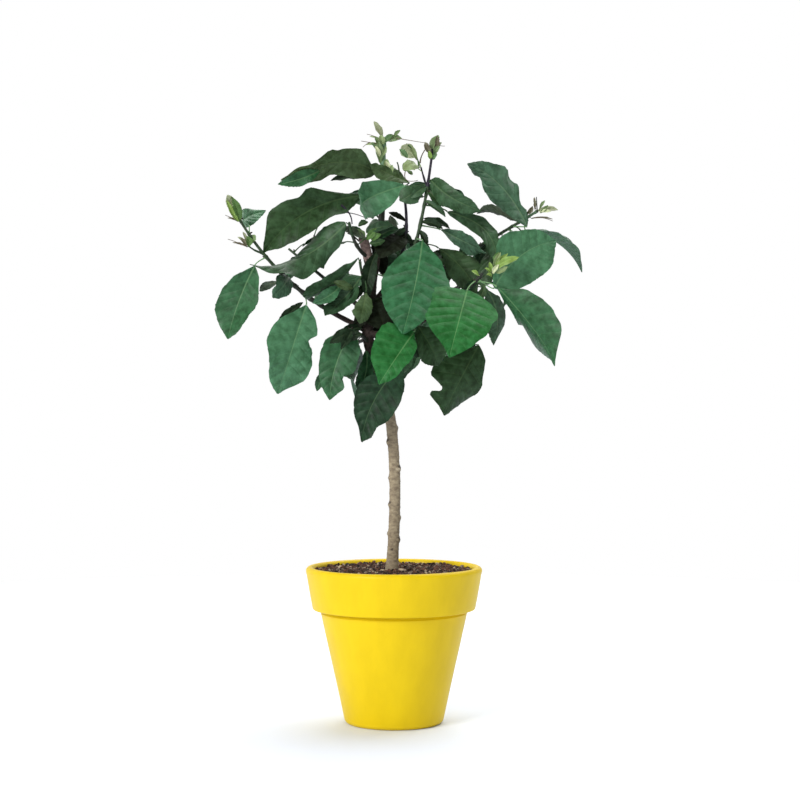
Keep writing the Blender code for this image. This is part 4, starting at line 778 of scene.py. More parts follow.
def trunk_shape(grow=0.0):
    """Returns the trunk's points and faces, its skin moved out by grow."""
    count = round((TRUNK_TOP - TRUNK_FOOT) / TRUNK_RING_STEP)
    heights = [TRUNK_FOOT + (TRUNK_TOP - TRUNK_FOOT) * i / count for i in range(count + 1)]
    points = []
    for height in heights:
        middle = trunk_axis(height)
        for side in range(TRUNK_SIDES):
            angle = 2.0 * math.pi * side / TRUNK_SIDES
            radius = trunk_radius(height, angle) + grow
            points.append(middle + Vector((math.cos(angle), math.sin(angle), 0.0)) * radius)
    return points, rings_to_faces(len(heights), TRUNK_SIDES)


def rings_to_faces(rings, sides):
    """Joins rings of points into a tube with a flat face at each end."""
    faces = [tuple(reversed(range(sides)))]
    for ring in range(rings - 1):
        for side in range(sides):
            after = (side + 1) % sides
            low = ring * sides
            faces.append((low + side, low + after, low + sides + after, low + sides + side))
    faces.append(tuple(range((rings - 1) * sides, rings * sides)))
    return faces


def across(curve, start, end, count):
    """Yields even shares of a stretch of a curve, each with its t and two ways square to the curve."""
    side_way = None
    for index in range(count):
        share = index / (count - 1)
        t = start + (end - start) * share
        along = (curve(t + 0.01) - curve(t - 0.01)).normalized()
        if side_way is None:
            side_way = Vector((0, 1, 0)) if abs(along.y) < 0.8 else Vector((1, 0, 0))
        side_way = at_right_angles(side_way, along)
        yield share, t, side_way, along.cross(side_way)


def ring_about(middle, side_way, other_way, radius, sides):
    """Returns the points of a ring round a middle."""
    angles = [2.0 * math.pi * side / sides for side in range(sides)]
    return [middle + (side_way * math.cos(a) + other_way * math.sin(a)) * radius for a in angles]


def tube(curve, start, end, radii, sides, rings):
    """Returns a tapering tube along a curve between two shares of its length."""
    points = []
    for share, t, side_way, other_way in across(curve, start, end, rings):
        radius = radii[0] + (radii[1] - radii[0]) * share
        points += ring_about(curve(t), side_way, other_way, radius, sides)
    return points, rings_to_faces(rings, sides)


def limb_curve(limb):
    """Returns the smooth curve through a limb's foot on the trunk, its knee and its tip."""
    foot, knee, tip = trunk_axis(limb.foot), Vector(limb.knee), Vector(limb.tip)
    first = (knee - foot).length
    bend = limb.bend or first / (first + (tip - knee).length)
    return through(foot, knee, tip, bend)


def through(start, middle, end, bend):
    """Returns the smooth curve that starts, passes the middle at the share bend, and ends."""
    def place(t):
        near = (t - bend) * (t - 1.0) / bend
        half_way = t * (t - 1.0) / (bend * (bend - 1.0))
        far = t * (t - bend) / (1.0 - bend)
        return start * near + middle * half_way + end * far

    return place


def straight(start, end):
    """Returns a straight line between two places as a curve."""
    return lambda t: start + (end - start) * t


def blade_width(t, peak):
    """Returns the half width of a plum leaf at a share of its length, at most one."""
    return math.sin(math.pi * t ** peak) ** 0.8 if 0.0 < t < 1.0 else 0.0


def midrib(pose, t):
    """Returns the place on a leaf's arched midrib at a share of its length."""
    bow = pose.reach.length * 4.0 * t * (1.0 - t)
    side_way = pose.reach.normalized().cross(pose.face)
    return pose.base + pose.reach * t + pose.face * (pose.arch * bow) + side_way * (pose.sweep * bow)


def face_at(pose, t):
    """Returns the way that a twisted blade faces at a share of its length."""
    turn = math.radians(pose.twist) * smooth_step(t)
    return Matrix.Rotation(turn, 3, pose.reach.normalized()) @ pose.face


def blade_rings(pose, grow=0.0):
    """Returns a blade's sections, each a ridge, an edge, the ridge below and the other edge."""
    length = pose.reach.length
    stations = LEAF_STATIONS if length > YOUNG_LENGTH else YOUNG_STATIONS
    half_thick = max(length * LEAF_THICK_SHARE, 0.5) / 2.0 + grow
    rings = []
    for t in stations:
        normal = face_at(pose, t)
        side_way = pose.reach.normalized().cross(normal)
        middle = midrib(pose, t)
        half = pose.wide / 2.0 * blade_width(t, pose.peak) + grow
        rise = normal * (half * pose.fold)
        rings.append((middle + normal * half_thick, middle + side_way * half + rise,
                      middle - normal * half_thick, middle - side_way * half + rise))
    return rings


def skin(first, rings, last):
    """Joins four-point rings, between an end point or flat end and a last point, into a shape."""
    points = [point for ring in rings for point in ring]
    faces = []
    for index in range(len(rings) - 1):
        low = 4 * index
        for ridge in (0, 2):
            for edge in (1, 3):
                faces.append((low + ridge, low + edge, low + 4 + edge))
                faces.append((low + ridge, low + 4 + edge, low + 4 + ridge))
    top = len(points) - 4
    tip = len(points)
    points.append(last)
    faces += [(top + side, top + (side + 1) % 4, tip) for side in range(4)]
    if first is None:
        faces += [(0, 1, 2), (0, 2, 3)]
        return points, faces
    points.append(first)
    faces += [(side, (side + 1) % 4, tip + 1) for side in range(4)]
    return points, faces


def blade(pose, grow=0.0):
    """Returns a leaf blade without its stalk, pointed at both ends."""
    rings = blade_rings(pose, grow)[1:-1]
    return skin(midrib(pose, 0.0), rings, midrib(pose, 1.0))


def stalk_curve(seat, pose):
    """Returns the curve of a leaf stalk, which turns towards the blade's own direction."""
    foot = midrib(pose, 0.0)
    along = pose.reach.normalized()
    stalk = foot - seat
    pull = foot - along * max(stalk.dot(along) * STALK_PULL, 0.0)
    return lambda t: seat * (1.0 - t) ** 2 + pull * (2.0 * t * (1.0 - t)) + foot * t * t


def leaf_shape(seat, pose):
    """Returns a leaf as one closed shape, its stalk rooted at the seat in the stem's middle."""
    curve = stalk_curve(seat, pose)
    along = pose.reach.normalized()
    side_way = along.cross(pose.face)
    stalk = curve(1.0) - seat
    shares = STALK_SHARES if stalk.length > SHORT_STALK else (0.0,)
    rings = []
    for t in reversed(shares):
        before = (curve(t) - curve(t - 0.02)).normalized()
        after = along if t == shares[-1] else (curve(t + 0.02) - curve(t)).normalized()
        way = (before + after).normalized() if stalk.length > SHORT_STALK else along
        side_way = at_right_angles(side_way, way)
        normal = side_way.cross(way)
        radius = STALK_RADIUS * (1.0 + (STALK_TAPER - 1.0) * t)
        middle = curve(t)
        rings.insert(0, (middle + normal * radius, middle + side_way * radius,
                         middle - normal * radius, middle - side_way * radius))
    return skin(None, rings + blade_rings(pose)[1:-1], midrib(pose, 1.0))


def tree_of(shape):
    """Returns a shape as a tree of faces that finds overlaps and rays."""
    return BVHTree.FromPolygons(shape[0], shape[1])


def crosses_itself(shape):
    """Says whether two faces of a shape that share no corner meet."""
    tree = tree_of(shape)
    faces = shape[1]
    return any(not set(faces[a]) & set(faces[b]) for a, b in tree.overlap(tree))


class Crown:
    """Keeps what already stands in the crown, so that nothing grown later runs into it."""

    def __init__(self, trunk):
        self.solids = [("trunk", tree_of(trunk))]
        self.screen_points = []
        self.screen_faces = []
        self.screen = None

    def clear(self, shape, apart_from=()):
        """Says whether a shape stays clear of every solid except those of the named owners."""
        tree = tree_of(shape)
        return not any(
            tree.overlap(other) for owner, other in self.solids if owner not in apart_from
        )

    def add(self, owner, shape):
        """Lets a shape take its room, under its owner's name."""
        self.solids.append((owner, tree_of(shape)))

    def add_to_screen(self, shape):
        """Adds a shown leaf to the screen that hides what grows behind it."""
        first = len(self.screen_points)
        self.screen_points += shape[0]
        self.screen_faces += [tuple(first + index for index in face) for face in shape[1]]
        self.screen = None

    def shown_share(self, points):
        """Returns the share of the points that the view point sees past the shown leaves."""
        if self.screen is None:
            self.screen = tree_of((self.screen_points, self.screen_faces))
        seen = 0
        for point in points:
            ray = point - VIEW_POINT
            hit = self.screen.ray_cast(VIEW_POINT, ray.normalized(), ray.length)
            seen += hit[0] is None
        return seen / len(points)


class Mass:
    """The stem, twigs, stalks and blades of one mass of foliage."""

    def __init__(self, limb):
        self.limb = limb
        self.curve = limb_curve(limb)
        self.start = limb.bough + self.gap_share()
        self.length = (self.curve(1.0) - self.curve(self.start)).length / (1.0 - self.start)
        self.leaves = []
        self.twigs = []
        self.spurs = []

    def gap_share(self):
        """Returns the gap after the bough's tip as a share of the limb's length."""
        if not self.limb.bough:
            return 0.0
        step = 0.001
        speed = (self.curve(self.limb.bough + step) - self.curve(self.limb.bough)).length / step
        return GAP / speed

    def radius(self, t):
        """Returns the limb's radius at a share of its length."""
        return self.limb.radius + (self.limb.tip_radius - self.limb.radius) * t

    def seat(self, on, at):
        """Returns the place on the stem, or on a side twig, where a leaf stalk starts."""
        curve = self.twigs[on - 1] if on else self.curve
        low = 0.0 if on else self.start + ROOT_DEPTH / self.length
        return curve(min(max(at, low), 1.0 - ROOT_DEPTH / self.length))


def bough_shape(limb, grow=0.0):
    """Returns the bough of a limb, from inside the trunk to its flat tip."""
    curve = limb_curve(limb)
    tip_radius = limb.radius + (limb.tip_radius - limb.radius) * limb.bough
    radii = (limb.radius + grow, tip_radius + grow)
    return tube(curve, 0.0, limb.bough, radii, LIMB_SIDES, LIMB_RINGS)


def stem_shape(mass):
    """Returns the stem of a mass, from its gap to its tip."""
    radii = (mass.radius(mass.start), mass.limb.tip_radius)
    return tube(mass.curve, mass.start, 1.0, radii, LIMB_SIDES, LIMB_RINGS)


def stalk_shape(seat, pose):
    """Returns the tube of a leaf stalk alone."""
    curve = stalk_curve(seat, pose)
    return tube(curve, 0.0, 1.0, (STALK_RADIUS, STALK_RADIUS), 4, len(STALK_SHARES))


def swung(reach, swing):
    """Returns a blade's reach swung in depth, at the same length."""
    moved = reach + Vector((0.0, swing, 0.0))
    return moved.normalized() * reach.length


def shown_pose(leaf, base, reach):
    """Returns the pose of a leaf that the photograph shows, rolled about its own length."""
    face = at_right_angles(Vector(leaf.face), reach)
    face = Matrix.Rotation(math.radians(leaf.roll), 3, reach.normalized()) @ face
    return Pose(base, reach, leaf.wide, face, leaf.arch, leaf.sweep, leaf.fold, leaf.twist,
                leaf.peak)


def grow_shown_leaf(mass, leaf, crown):
    """Grows a leaf that the photograph shows, swung in depth until it is clear of the rest."""
    seat = mass.seat(leaf.on, leaf.at)
    for strict in (True, False):
        for swing in DEPTH_SWINGS:
            reach = swung(Vector(leaf.reach), swing)
            pose = shown_pose(leaf, seat + Vector(leaf.stalk), reach)
            if is_clear(mass, seat, pose, crown, strict):
                keep_leaf(mass, seat, pose, crown)
                crown.add_to_screen(blade(pose))
                return
    raise ValueError(f"no clear place for a shown leaf of {mass.limb.name}")


def is_clear(mass, seat, pose, crown, strict):
    """Says whether a leaf is clear of other masses and, if strict, of its own mass too."""
    own = (mass.limb.name,)
    with_blades = (mass.limb.name, mass.limb.name + " blades")
    if crosses_itself(leaf_shape(seat, pose)):
        return False
    stem = stalk_shape(seat, pose)
    if pose.reach.length < YOUNG_LENGTH:
        return crown.clear(stem, with_blades) and crown.clear(blade(pose, CLEARANCE), with_blades)
    if not strict:
        return crown.clear(stem, with_blades) and crown.clear(blade(pose, CLEARANCE), own)
    return crown.clear(stem, own) and crown.clear(blade(pose, CLEARANCE))


def keep_leaf(mass, seat, pose, crown):
    """Adds a leaf to its mass and lets it take its room in the crown."""
    mass.leaves.append((seat, pose))
    crown.add(mass.limb.name, stalk_shape(seat, pose))
    crown.add(mass.limb.name + " blades", blade(pose))


def grow_twig(mass, seat, reach, crown):
    """Grows a straight side twig."""
    line = straight(seat, seat + reach)
    shape = tube(line, 0.0, 1.0, (TWIG_RADIUS, STALK_RADIUS), TWIG_SIDES, TWIG_RINGS)
    mass.twigs.append(line)
    crown.add(mass.limb.name, shape)


def heading(angle, dip):
    """Returns the unit vector at an angle round the Z axis and a dip below the level."""
    return Vector((math.cos(angle) * math.cos(dip), math.sin(angle) * math.cos(dip), -math.sin(dip)))


def grow_side_twigs(mass, crown, draw):
    """Grows side twigs by rule, each turned from the last by the golden angle, out of sight."""
    own = mass.limb.name
    first, last = SIDE_TWIG_SHARES
    for index in range(mass.limb.side_twigs):
        seat = mass.curve(first + (last - first) * (index + 0.5) / mass.limb.side_twigs)
        for _ in range(TRIES):
            angle = index * GOLDEN_ANGLE + draw.uniform(-SIDE_TWIG_TURNS, SIDE_TWIG_TURNS)
            reach = heading(angle, draw.uniform(*SIDE_TWIG_DIPS)) * draw.uniform(*SIDE_TWIG_LENGTHS)
            line = straight(seat, seat + reach)
            room = tube(line, 0.0, 1.0, (SIDE_TWIG_ROOM, SIDE_TWIG_ROOM), TWIG_SIDES, TWIG_RINGS)
            if crown.shown_share([line(0.5), line(1.0)]) > 0.0:
                continue
            if crown.clear(room, (own,)):
                grow_twig(mass, seat, reach, crown)
                break


def leaf_by_rule(seat, angle, ease, draw):
    """Returns the pose of a leaf drawn by rule near an angle round the Z axis."""
    dip = draw.uniform(*LEAF_DIPS)
    reach = heading(angle, dip) * draw.uniform(*LEAF_LENGTHS) * ease
    stalk_angle = angle + draw.uniform(-STALK_TURNS, STALK_TURNS)
    base = seat + heading(stalk_angle, dip - STALK_RISE) * draw.uniform(*STALK_LENGTHS)
    outward = (base + reach * 0.5 - CROWN_CENTRE).normalized()
    face = at_right_angles(outward + SKYWARD, reach)
    wide = reach.length * draw.uniform(*LEAF_SLENDERNESS)
    return Pose(base, reach, wide, face, draw.uniform(*LEAF_ARCHES), draw.uniform(*LEAF_SWEEPS),
                draw.uniform(*LEAF_FOLDS), draw.uniform(*LEAF_TWISTS), draw.uniform(*LEAF_PEAKS))


def grow_more_leaves(mass, crown, draw):
    """Grows leaves by rule round the stem and twigs, behind the leaves that the photograph shows."""
    limb = mass.limb
    spots = 1 + len(mass.twigs) if limb.side_twigs else 1
    for index in range(limb.more):
        on = index % spots
        low = mass.start + STEM_BARE_SHARE if on == 0 else TWIG_BARE_SHARE
        for attempt in range(TRIES):
            seat = mass.seat(on, draw.uniform(low, 1.0))
            angle = index * GOLDEN_ANGLE + draw.uniform(-LEAF_TURNS, LEAF_TURNS)
            pose = leaf_by_rule(seat, angle, 1.0 - TRIES_SHRINK * attempt / TRIES, draw)
            if crown.shown_share(blade(pose, SHOWN_MARGIN)[0]) > SHOWN_SHARE:
                continue
            if is_clear(mass, seat, pose, crown, True):
                keep_leaf(mass, seat, pose, crown)
                break


# Finishes

def channels(text):
    """Returns the three channels of an sRGB hex colour, from 0 to 255."""
    return [int(text[i:i + 2], 16) for i in (1, 3, 5)]


def hex_text(parts):
    """Returns three channels as an sRGB hex colour, each held at 255."""
    return "#" + "".join(f"{min(255, round(part)):02X}" for part in parts)


def hex_colour(text):
    """Turns an sRGB hex colour into linear light with full alpha."""
    shares = [channel / 255.0 for channel in channels(text)]
    linear = [s / 12.92 if s <= 0.04045 else ((s + 0.055) / 1.055) ** 2.4 for s in shares]
    return (*linear, 1.0)


def add_node(material, kind, settings=None, links=None):
    """Adds a node, sets its inputs or attributes by name, and links inputs to (node, output)."""
    node = material.node_tree.nodes.new(kind)
    for name, value in (settings or {}).items():
        if isinstance(name, int) or name in node.inputs:
            node.inputs[name].default_value = value
        else:
            setattr(node, name, value)
    for name, (source, output) in (links or {}).items():
        material.node_tree.links.new(source.outputs[output], node.inputs[name])
    return node


def start_finish(name, **settings):
    """Returns a new material and its surface shader, with plain numbers set on the shader."""
    material = bpy.data.materials.new(name)
    material.use_nodes = True
    shader = material.node_tree.nodes["Principled BSDF"]
    for socket, value in settings.items():
        shader.inputs[socket.replace("_", " ")].default_value = value
    return material, shader


def mottle(material, shader, dark, light, size_mm, contrast=(0.35, 0.65), stretch=(1, 1, 1)):
    """Mixes two linear colours in soft patches of about size_mm, in the object's own space."""
    place = add_node(material, "ShaderNodeTexCoord")
    spread = add_node(material, "ShaderNodeMapping", {"Scale": stretch},
                      {"Vector": (place, "Object")})
    patches = add_node(material, "ShaderNodeTexNoise",
                       {"Scale": 1.0 / (size_mm * MM), "Detail": 4.0, "Roughness": 0.6},
                       {"Vector": (spread, 0)})
    ramp = add_node(material, "ShaderNodeValToRGB", links={"Fac": (patches, "Fac")})
    for element, position, colour in zip(ramp.color_ramp.elements, contrast, (dark, light)):
        element.position = position
        element.color = colour
    material.node_tree.links.new(ramp.outputs[0], shader.inputs["Base Color"])
    return spread


def emboss(material, shader, spread, size_mm, depth_mm, strength=1.0, detail=3.0):
    """Raises fine relief of about size_mm and depth_mm on a finish."""
    grain = add_node(material, "ShaderNodeTexNoise",
                     {"Scale": 1.0 / (size_mm * MM), "Detail": detail, "Roughness": 0.55},
                     {"Vector": (spread, 0)})
    bump = add_node(material, "ShaderNodeBump", {"Strength": strength, "Distance": depth_mm * MM},
                    {"Height": (grain, "Fac")})
    material.node_tree.links.new(bump.outputs[0], shader.inputs["Normal"])
    return grain


def vary_roughness(material, shader, source, low, high):
    """Lets the roughness drift between two values with a noise."""
    drift = add_node(material, "ShaderNodeMapRange",
                     {"From Min": 0.3, "From Max": 0.7, "To Min": low, "To Max": high},
                     {"Value": (source, 0)})
    material.node_tree.links.new(drift.outputs[0], shader.inputs["Roughness"])


@functools.cache
def moulded_polypropylene(dark, light):
    """Polypropylene, injection moulded in a lightly etched tool: even colour, broad soft highlights."""
    material, shader = start_finish("moulded_polypropylene", IOR=1.49, Specular_IOR_Level=0.2)
    # Pigment streaks of about 18 mm show as the faintest change of yellow
    spread = mottle(material, shader, dark, light, 18.0, (0.3, 0.7), (1.0, 1.0, 0.35))
    grain = emboss(material, shader, spread, 0.9, 0.05, 0.35)
    vary_roughness(material, shader, grain, 0.40, 0.50)
    return material


@functools.cache
def potting_bark(name, dark, light):
    """Composted bark and peat, sieved and damp: dull, broken colour with rough edges."""
    material, shader = start_finish(name, IOR=1.45)
    spread = mottle(material, shader, hex_colour(dark), hex_colour(light), 1.6)
    grain = emboss(material, shader, spread, 0.7, 0.25, 0.8)
    vary_roughness(material, shader, grain, 0.78, 0.95)
    return material


@functools.cache
def plum_bark(name, dark, light, streak):
    """Young plum bark: a thin dull grey-brown skin, ringed by pores that run across it."""
    material, shader = start_finish(name, IOR=1.45)
    spread = mottle(material, shader, dark, light, 3.4, (0.36, 0.66), (0.6, 0.6, streak))
    grain = emboss(material, shader, spread, 0.8, 0.22, 0.7, 5.0)
    vary_roughness(material, shader, grain, 0.74, 0.9)
    return material


def bark_finish(name, dark, light, streak=BARK_STREAK):
    """Returns a plum bark whose colours are given as hex."""
    return plum_bark(name, hex_colour(dark), hex_colour(light), streak)


@functools.cache
def green_shoot(name, dark, light):
    """Green wood of this year's growth: smooth waxy skin with small pores."""
    material, shader = start_finish(name, IOR=1.45, Specular_IOR_Level=0.25)
    colours = hex_colour(dark), hex_colour(light)
    spread = mottle(material, shader, *colours, 3.0, (0.35, 0.65), (1.0, 1.0, 0.4))
    grain = emboss(material, shader, spread, 0.6, 0.06, 0.4)
    vary_roughness(material, shader, grain, 0.42, 0.58)
    return material


@functools.cache
def leaf_skin(name, dark, light, low, high, gloss):
    """Plum leaf skin: a waxy layer over fine net veins, so a soft broken sheen on cool green, partly
    painted into its lighter patches.
    """
    material, shader = start_finish(name, IOR=1.45, Specular_IOR_Level=gloss)
    spread = mottle(material, shader, hex_colour(dark), hex_colour(light), 8.0, (0.34, 0.66))
    # The net of the finest veins is about 0.8 mm wide; it is drawn 1.3 mm wide so that it shows
    grain = emboss(material, shader, spread, 1.3, 0.04, 0.25, 2.0)
    vary_roughness(material, shader, grain, low, high)
    return material


def blend(colour, other, share):
    """Returns a hex colour part of the way towards another."""
    return hex_text([a + (b - a) * share for a, b in zip(channels(colour), channels(other))])


def shaded(colour, factor):
    """Returns a hex colour made darker or lighter by a factor in sRGB."""
    return hex_text([part * factor for part in channels(colour)])


# Each tone: upper skin, underside, how much lighter its side veins and its midrib are, and its gloss
# The shadow, inner_shade and deep tones are painted shade: near-black colours for leaves in the crown's
# shade. The other tones were fitted to how each leaf looks where it hangs, so besides the leaf's own
# colour they hold some painted light and shade
TONES = {
    "fresh": ("#18591F", "#43684A", 1.12, 1.45, 0.15),
    "blue_green": ("#1C522A", "#43684A", 1.10, 1.4, 0.22),
    "cool_green": ("#1E4C26", "#3E6044", 1.10, 1.4, 0.3),
    "mid_green": ("#3B6C45", "#4A6E50", 1.10, 1.3, 0.3),
    "teal": ("#34543A", "#4A6A50", 1.08, 1.3, 0.35),
    "pale_teal": ("#588B5B", "#648A6C", 1.08, 1.2, 0.4),
    "sea_green": ("#294526", "#42603F", 1.10, 1.25, 0.25),
    "light_olive": ("#3D512C", "#54673F", 1.10, 1.2, 0.2),
    "olive": ("#29401E", "#43583A", 1.10, 1.2, 0.2),
    "deep_olive": ("#203718", "#3C5636", 1.10, 1.2, 0.15),
    "bottle": ("#264025", "#3E5C40", 1.10, 1.3, 0.2),
    "deep": ("#0B240D", "#2C4828", 1.10, 1.3, 0.15),
    "shadow": ("#12200F", "#2C4028", 1.08, 1.2, 0.1),
    "inner_shade": ("#0E1006", "#222618", 1.06, 1.1, 0.05),
    "brown_green": ("#495240", "#565C4A", 1.06, 1.15, 0.2),
    "yellow_green": ("#4A6A30", "#5C7844", 1.06, 1.2, 0.2),
    "brown_shoot": ("#5F5843", "#706A54", 1.05, 1.08, 0.2),
    "dull_shoot": ("#627748", "#6E7F58", 1.05, 1.08, 0.3),
    "young": ("#80915D", "#97A878", 1.05, 1.08, 0.3),
    "pale_young": ("#CACFA2", "#ABBA8A", 1.05, 1.08, 0.3),
    "grey_young": ("#8D916F", "#929A7C", 1.05, 1.08, 0.3),
    "lime": ("#7F9C44", "#93A962", 1.05, 1.08, 0.3),
    "shoot_leaf": ("#537144", "#7A9266", 1.05, 1.1, 0.3),
}
# A painted blue-white sheen that the lighter patches of each leaf skin lean towards, and the pale
# yellow-green of the ribs
PAINTED_SHEEN = "#8FB4A6"
RIB_PALE = "#A4B285"


def tone_finishes(tone):
    """Returns the finishes of a leaf: upper skin, side veins, midrib, underside and its ribs."""
    skin_colour, under, vein, rib, gloss = TONES[tone]

    def finish(part, colour, spread, low, high):
        # The lighter colour of each leaf mottle is painted sheen: lifted, then blended towards the
        # blue-white
        light = blend(shaded(colour, 1.0 + spread * 0.4), PAINTED_SHEEN, spread)
        return leaf_skin(f"{tone}_{part}", shaded(colour, 1.0 - spread), light, low, high, gloss)

    return (
        finish("leaf", skin_colour, 0.15, 0.38, 0.54),
        finish("vein", blend(skin_colour, RIB_PALE, (vein - 1.0) * 0.6), 0.12, 0.44, 0.56),
        finish("midrib", blend(skin_colour, RIB_PALE, (rib - 1.0) * 0.8), 0.06, 0.44, 0.56),
        finish("underside", under, 0.08, 0.6, 0.72),
        finish("under_rib", shaded(under, 1.14), 0.05, 0.6, 0.72),
    )


# Barks of the trunk besides its own, by part: name, darker and lighter colour, and streak if not plain
TRUNK_BARKS = {
    "stub": ("pink_grey_plum_bark", "#6A5652", "#917B74"),
    "shaded": ("shaded_bark", "#241A16", "#3A2C26"),
    "node": ("pale_node_bark", "#948770", "#B9AD94"),
    "scar": ("scar_bark", "#453C32", "#655847"),
    "cut": ("cut_wood", "#8C7468", "#AA9284", 1.0),
}
# Stems, stalks and threads: name, darker and lighter colour
# The dark and black finishes are near-black partly as painted shade, for stems inside the crown
STEMS = {
    "dark": ("dark_shoot", "#1E221B", "#31362B"),
    "black": ("black_purple_shoot", "#1D1A22", "#322C3A"),
    "dark_green": ("dark_green_shoot", "#22331F", "#36492F"),
    "green": ("green_shoot", "#4E6C50", "#6A8868"),
    "stalk": ("leaf_stalk", "#2B4428", "#43603A"),
    "pale_stalk": ("pale_leaf_stalk", "#5E8456", "#7DA072"),
    "tip": ("young_stalk", "#7F9A62", "#9DB27C"),
    "thread": ("dry_thread", "#4A4034", "#6A5C4A"),
}


def stem_finish(kind):
    """Returns the finish of a stem, stalk or thread by its kind."""
    # The bark kind takes the shaded bark, darkened as painted shade inside the crown; boughs, buds and
    # threads use it
    return bark_finish(*TRUNK_BARKS["shaded"]) if kind == "bark" else green_shoot(*STEMS[kind])


# Barks of the mix: name, darker and lighter colour, and share of the crumbs
MIX_BARKS = (
    ("composted_bark", "#2A1A0F", "#4E3524", 34),
    ("red_brown_bark", "#46291B", "#6C4734", 34),
    ("damp_peat", "#150D08", "#2C1E13", 18),
    ("grey_chip", "#6C5A4E", "#948270", 9),
    ("pale_chip", "#A08C72", "#BBA98E", 5),
)


# Joined meshes

class Pile:
    """Collects points and faces with a finish each, in millimetres, until they become one mesh."""

    def __init__(self):
        self.points = []
        self.quads = []
        self.triangles = []
        self.quad_finishes = []
        self.triangle_finishes = []
        self.finishes = []
        self.count = 0

    def slot_of(self, finish_used):
        """Returns the slot number of a finish, adding it when it is new."""
        if finish_used not in self.finishes:
            self.finishes.append(finish_used)
        return self.finishes.index(finish_used)

    def add(self, points, quads=None, quad_slots=0, triangles=None, triangle_slots=0):
        """Adds a shape; a slot is one number for all its faces or an array with one each."""
        points = np.asarray(points, float).reshape(-1, 3)
        if quads is not None and len(quads):
            quads = np.asarray(quads, int)
            self.quads.append(quads + self.count)
            self.quad_finishes.append(np.broadcast_to(quad_slots, len(quads)))
        if triangles is not None and len(triangles):
            triangles = np.asarray(triangles, int)
            self.triangles.append(triangles + self.count)
            self.triangle_finishes.append(np.broadcast_to(triangle_slots, len(triangles)))
        self.points.append(points)
        self.count += len(points)

    def to_object(self, name, sharp_angle=65.0):
        """Makes one object of everything in the pile."""
        points = np.concatenate(self.points) * MM
        quads = np.concatenate(self.quads) if self.quads else np.zeros((0, 4), int)
        triangles = np.concatenate(self.triangles) if self.triangles else np.zeros((0, 3), int)
        corners = np.concatenate([quads.ravel(), triangles.ravel()])
        starts = np.concatenate([np.arange(len(quads)) * 4,
                                 len(quads) * 4 + np.arange(len(triangles)) * 3])
        slots = np.concatenate([np.zeros(0, int)] + self.quad_finishes + self.triangle_finishes)
        mesh = bpy.data.meshes.new(name)
        mesh.vertices.add(len(points))
        mesh.vertices.foreach_set("co", points.astype(np.float32).ravel())
        mesh.loops.add(len(corners))
        mesh.loops.foreach_set("vertex_index", corners.astype(np.int32))
        mesh.polygons.add(len(starts))
        mesh.polygons.foreach_set("loop_start", starts.astype(np.int32))
        mesh.polygons.foreach_set("material_index", slots.astype(np.int32))
        for used in self.finishes:
            mesh.materials.append(used)
        mesh.update(calc_edges=True)
        mesh.validate()
        mesh.shade_smooth()
        mesh.set_sharp_from_angle(angle=math.radians(sharp_angle))
        piece = bpy.data.objects.new(name, mesh)
        bpy.context.scene.collection.objects.link(piece)
        return piece


def put_in_place(piece, slot, *nodes):
    """Lets a piece ride on the tree and stand for its CAD nodes, which it hides; its slot is not used.
    """
    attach(piece, "root")
    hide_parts(*nodes)


def ring_quads(rings, sides):
    """Returns the four-sided faces between rings of points that follow one another."""
    around = np.arange(sides)
    after = (around + 1) % sides
    low = np.arange(rings - 1)[:, None] * sides
    corners = [low + around, low + after, low + sides + after, low + sides + around]
    return np.stack(corners, -1).reshape(-1, 4)


def add_rings(pile, points, rings, sides, slots, cap_slot):
    """Adds rings of points, closed at both ends round the two middle points that come last."""
    around = np.arange(sides)
    after = (around + 1) % sides
    last = (rings - 1) * sides
    middle = np.full(sides, rings * sides)
    caps = np.concatenate([np.stack([middle, after, around], 1),
                           np.stack([middle + 1, last + around, last + after], 1)])
    pile.add(points, ring_quads(rings, sides), slots, caps, cap_slot)


def with_middles(rings):
    """Returns the points of rings, followed by the middles of the first and the last ring."""
    return np.concatenate([rings.reshape(-1, 3), rings[0].mean(0)[None], rings[-1].mean(0)[None]])


def stem_slots(pile, kinds, count):
    """Returns a finish number for each ring of a stem, passing evenly through the kinds."""
    numbers = [pile.slot_of(stem_finish(kind)) for kind in kinds]
    return [numbers[min(len(numbers) - 1, int(len(numbers) * ring / count))] for ring in range(count)]


def fine_tube(pile, curve, radius_at, sides, count, kinds, start=0.0, end=1.0, seed=0.0, crook=0.0):
    """Adds a fine closed tube along a curve, its radius given at each share of its length."""
    rings = []
    for share, t, side_way, other_way in across(curve, start, end, count):
        middle = curve(t)
        if crook:
            drift = noise.noise_vector(middle * 0.05 + Vector((seed, 0.0, 0.0)))
            middle = middle + drift * (crook * math.sin(math.pi * share))
        ring = ring_about(middle, side_way, other_way, radius_at(share), sides)
        rings.append([tuple(point) for point in ring])
    slots = stem_slots(pile, kinds, count)
    points = with_middles(np.array(rings))
    add_rings(pile, points, count, sides, np.repeat(slots[:-1], sides), slots[-1])


# Pot

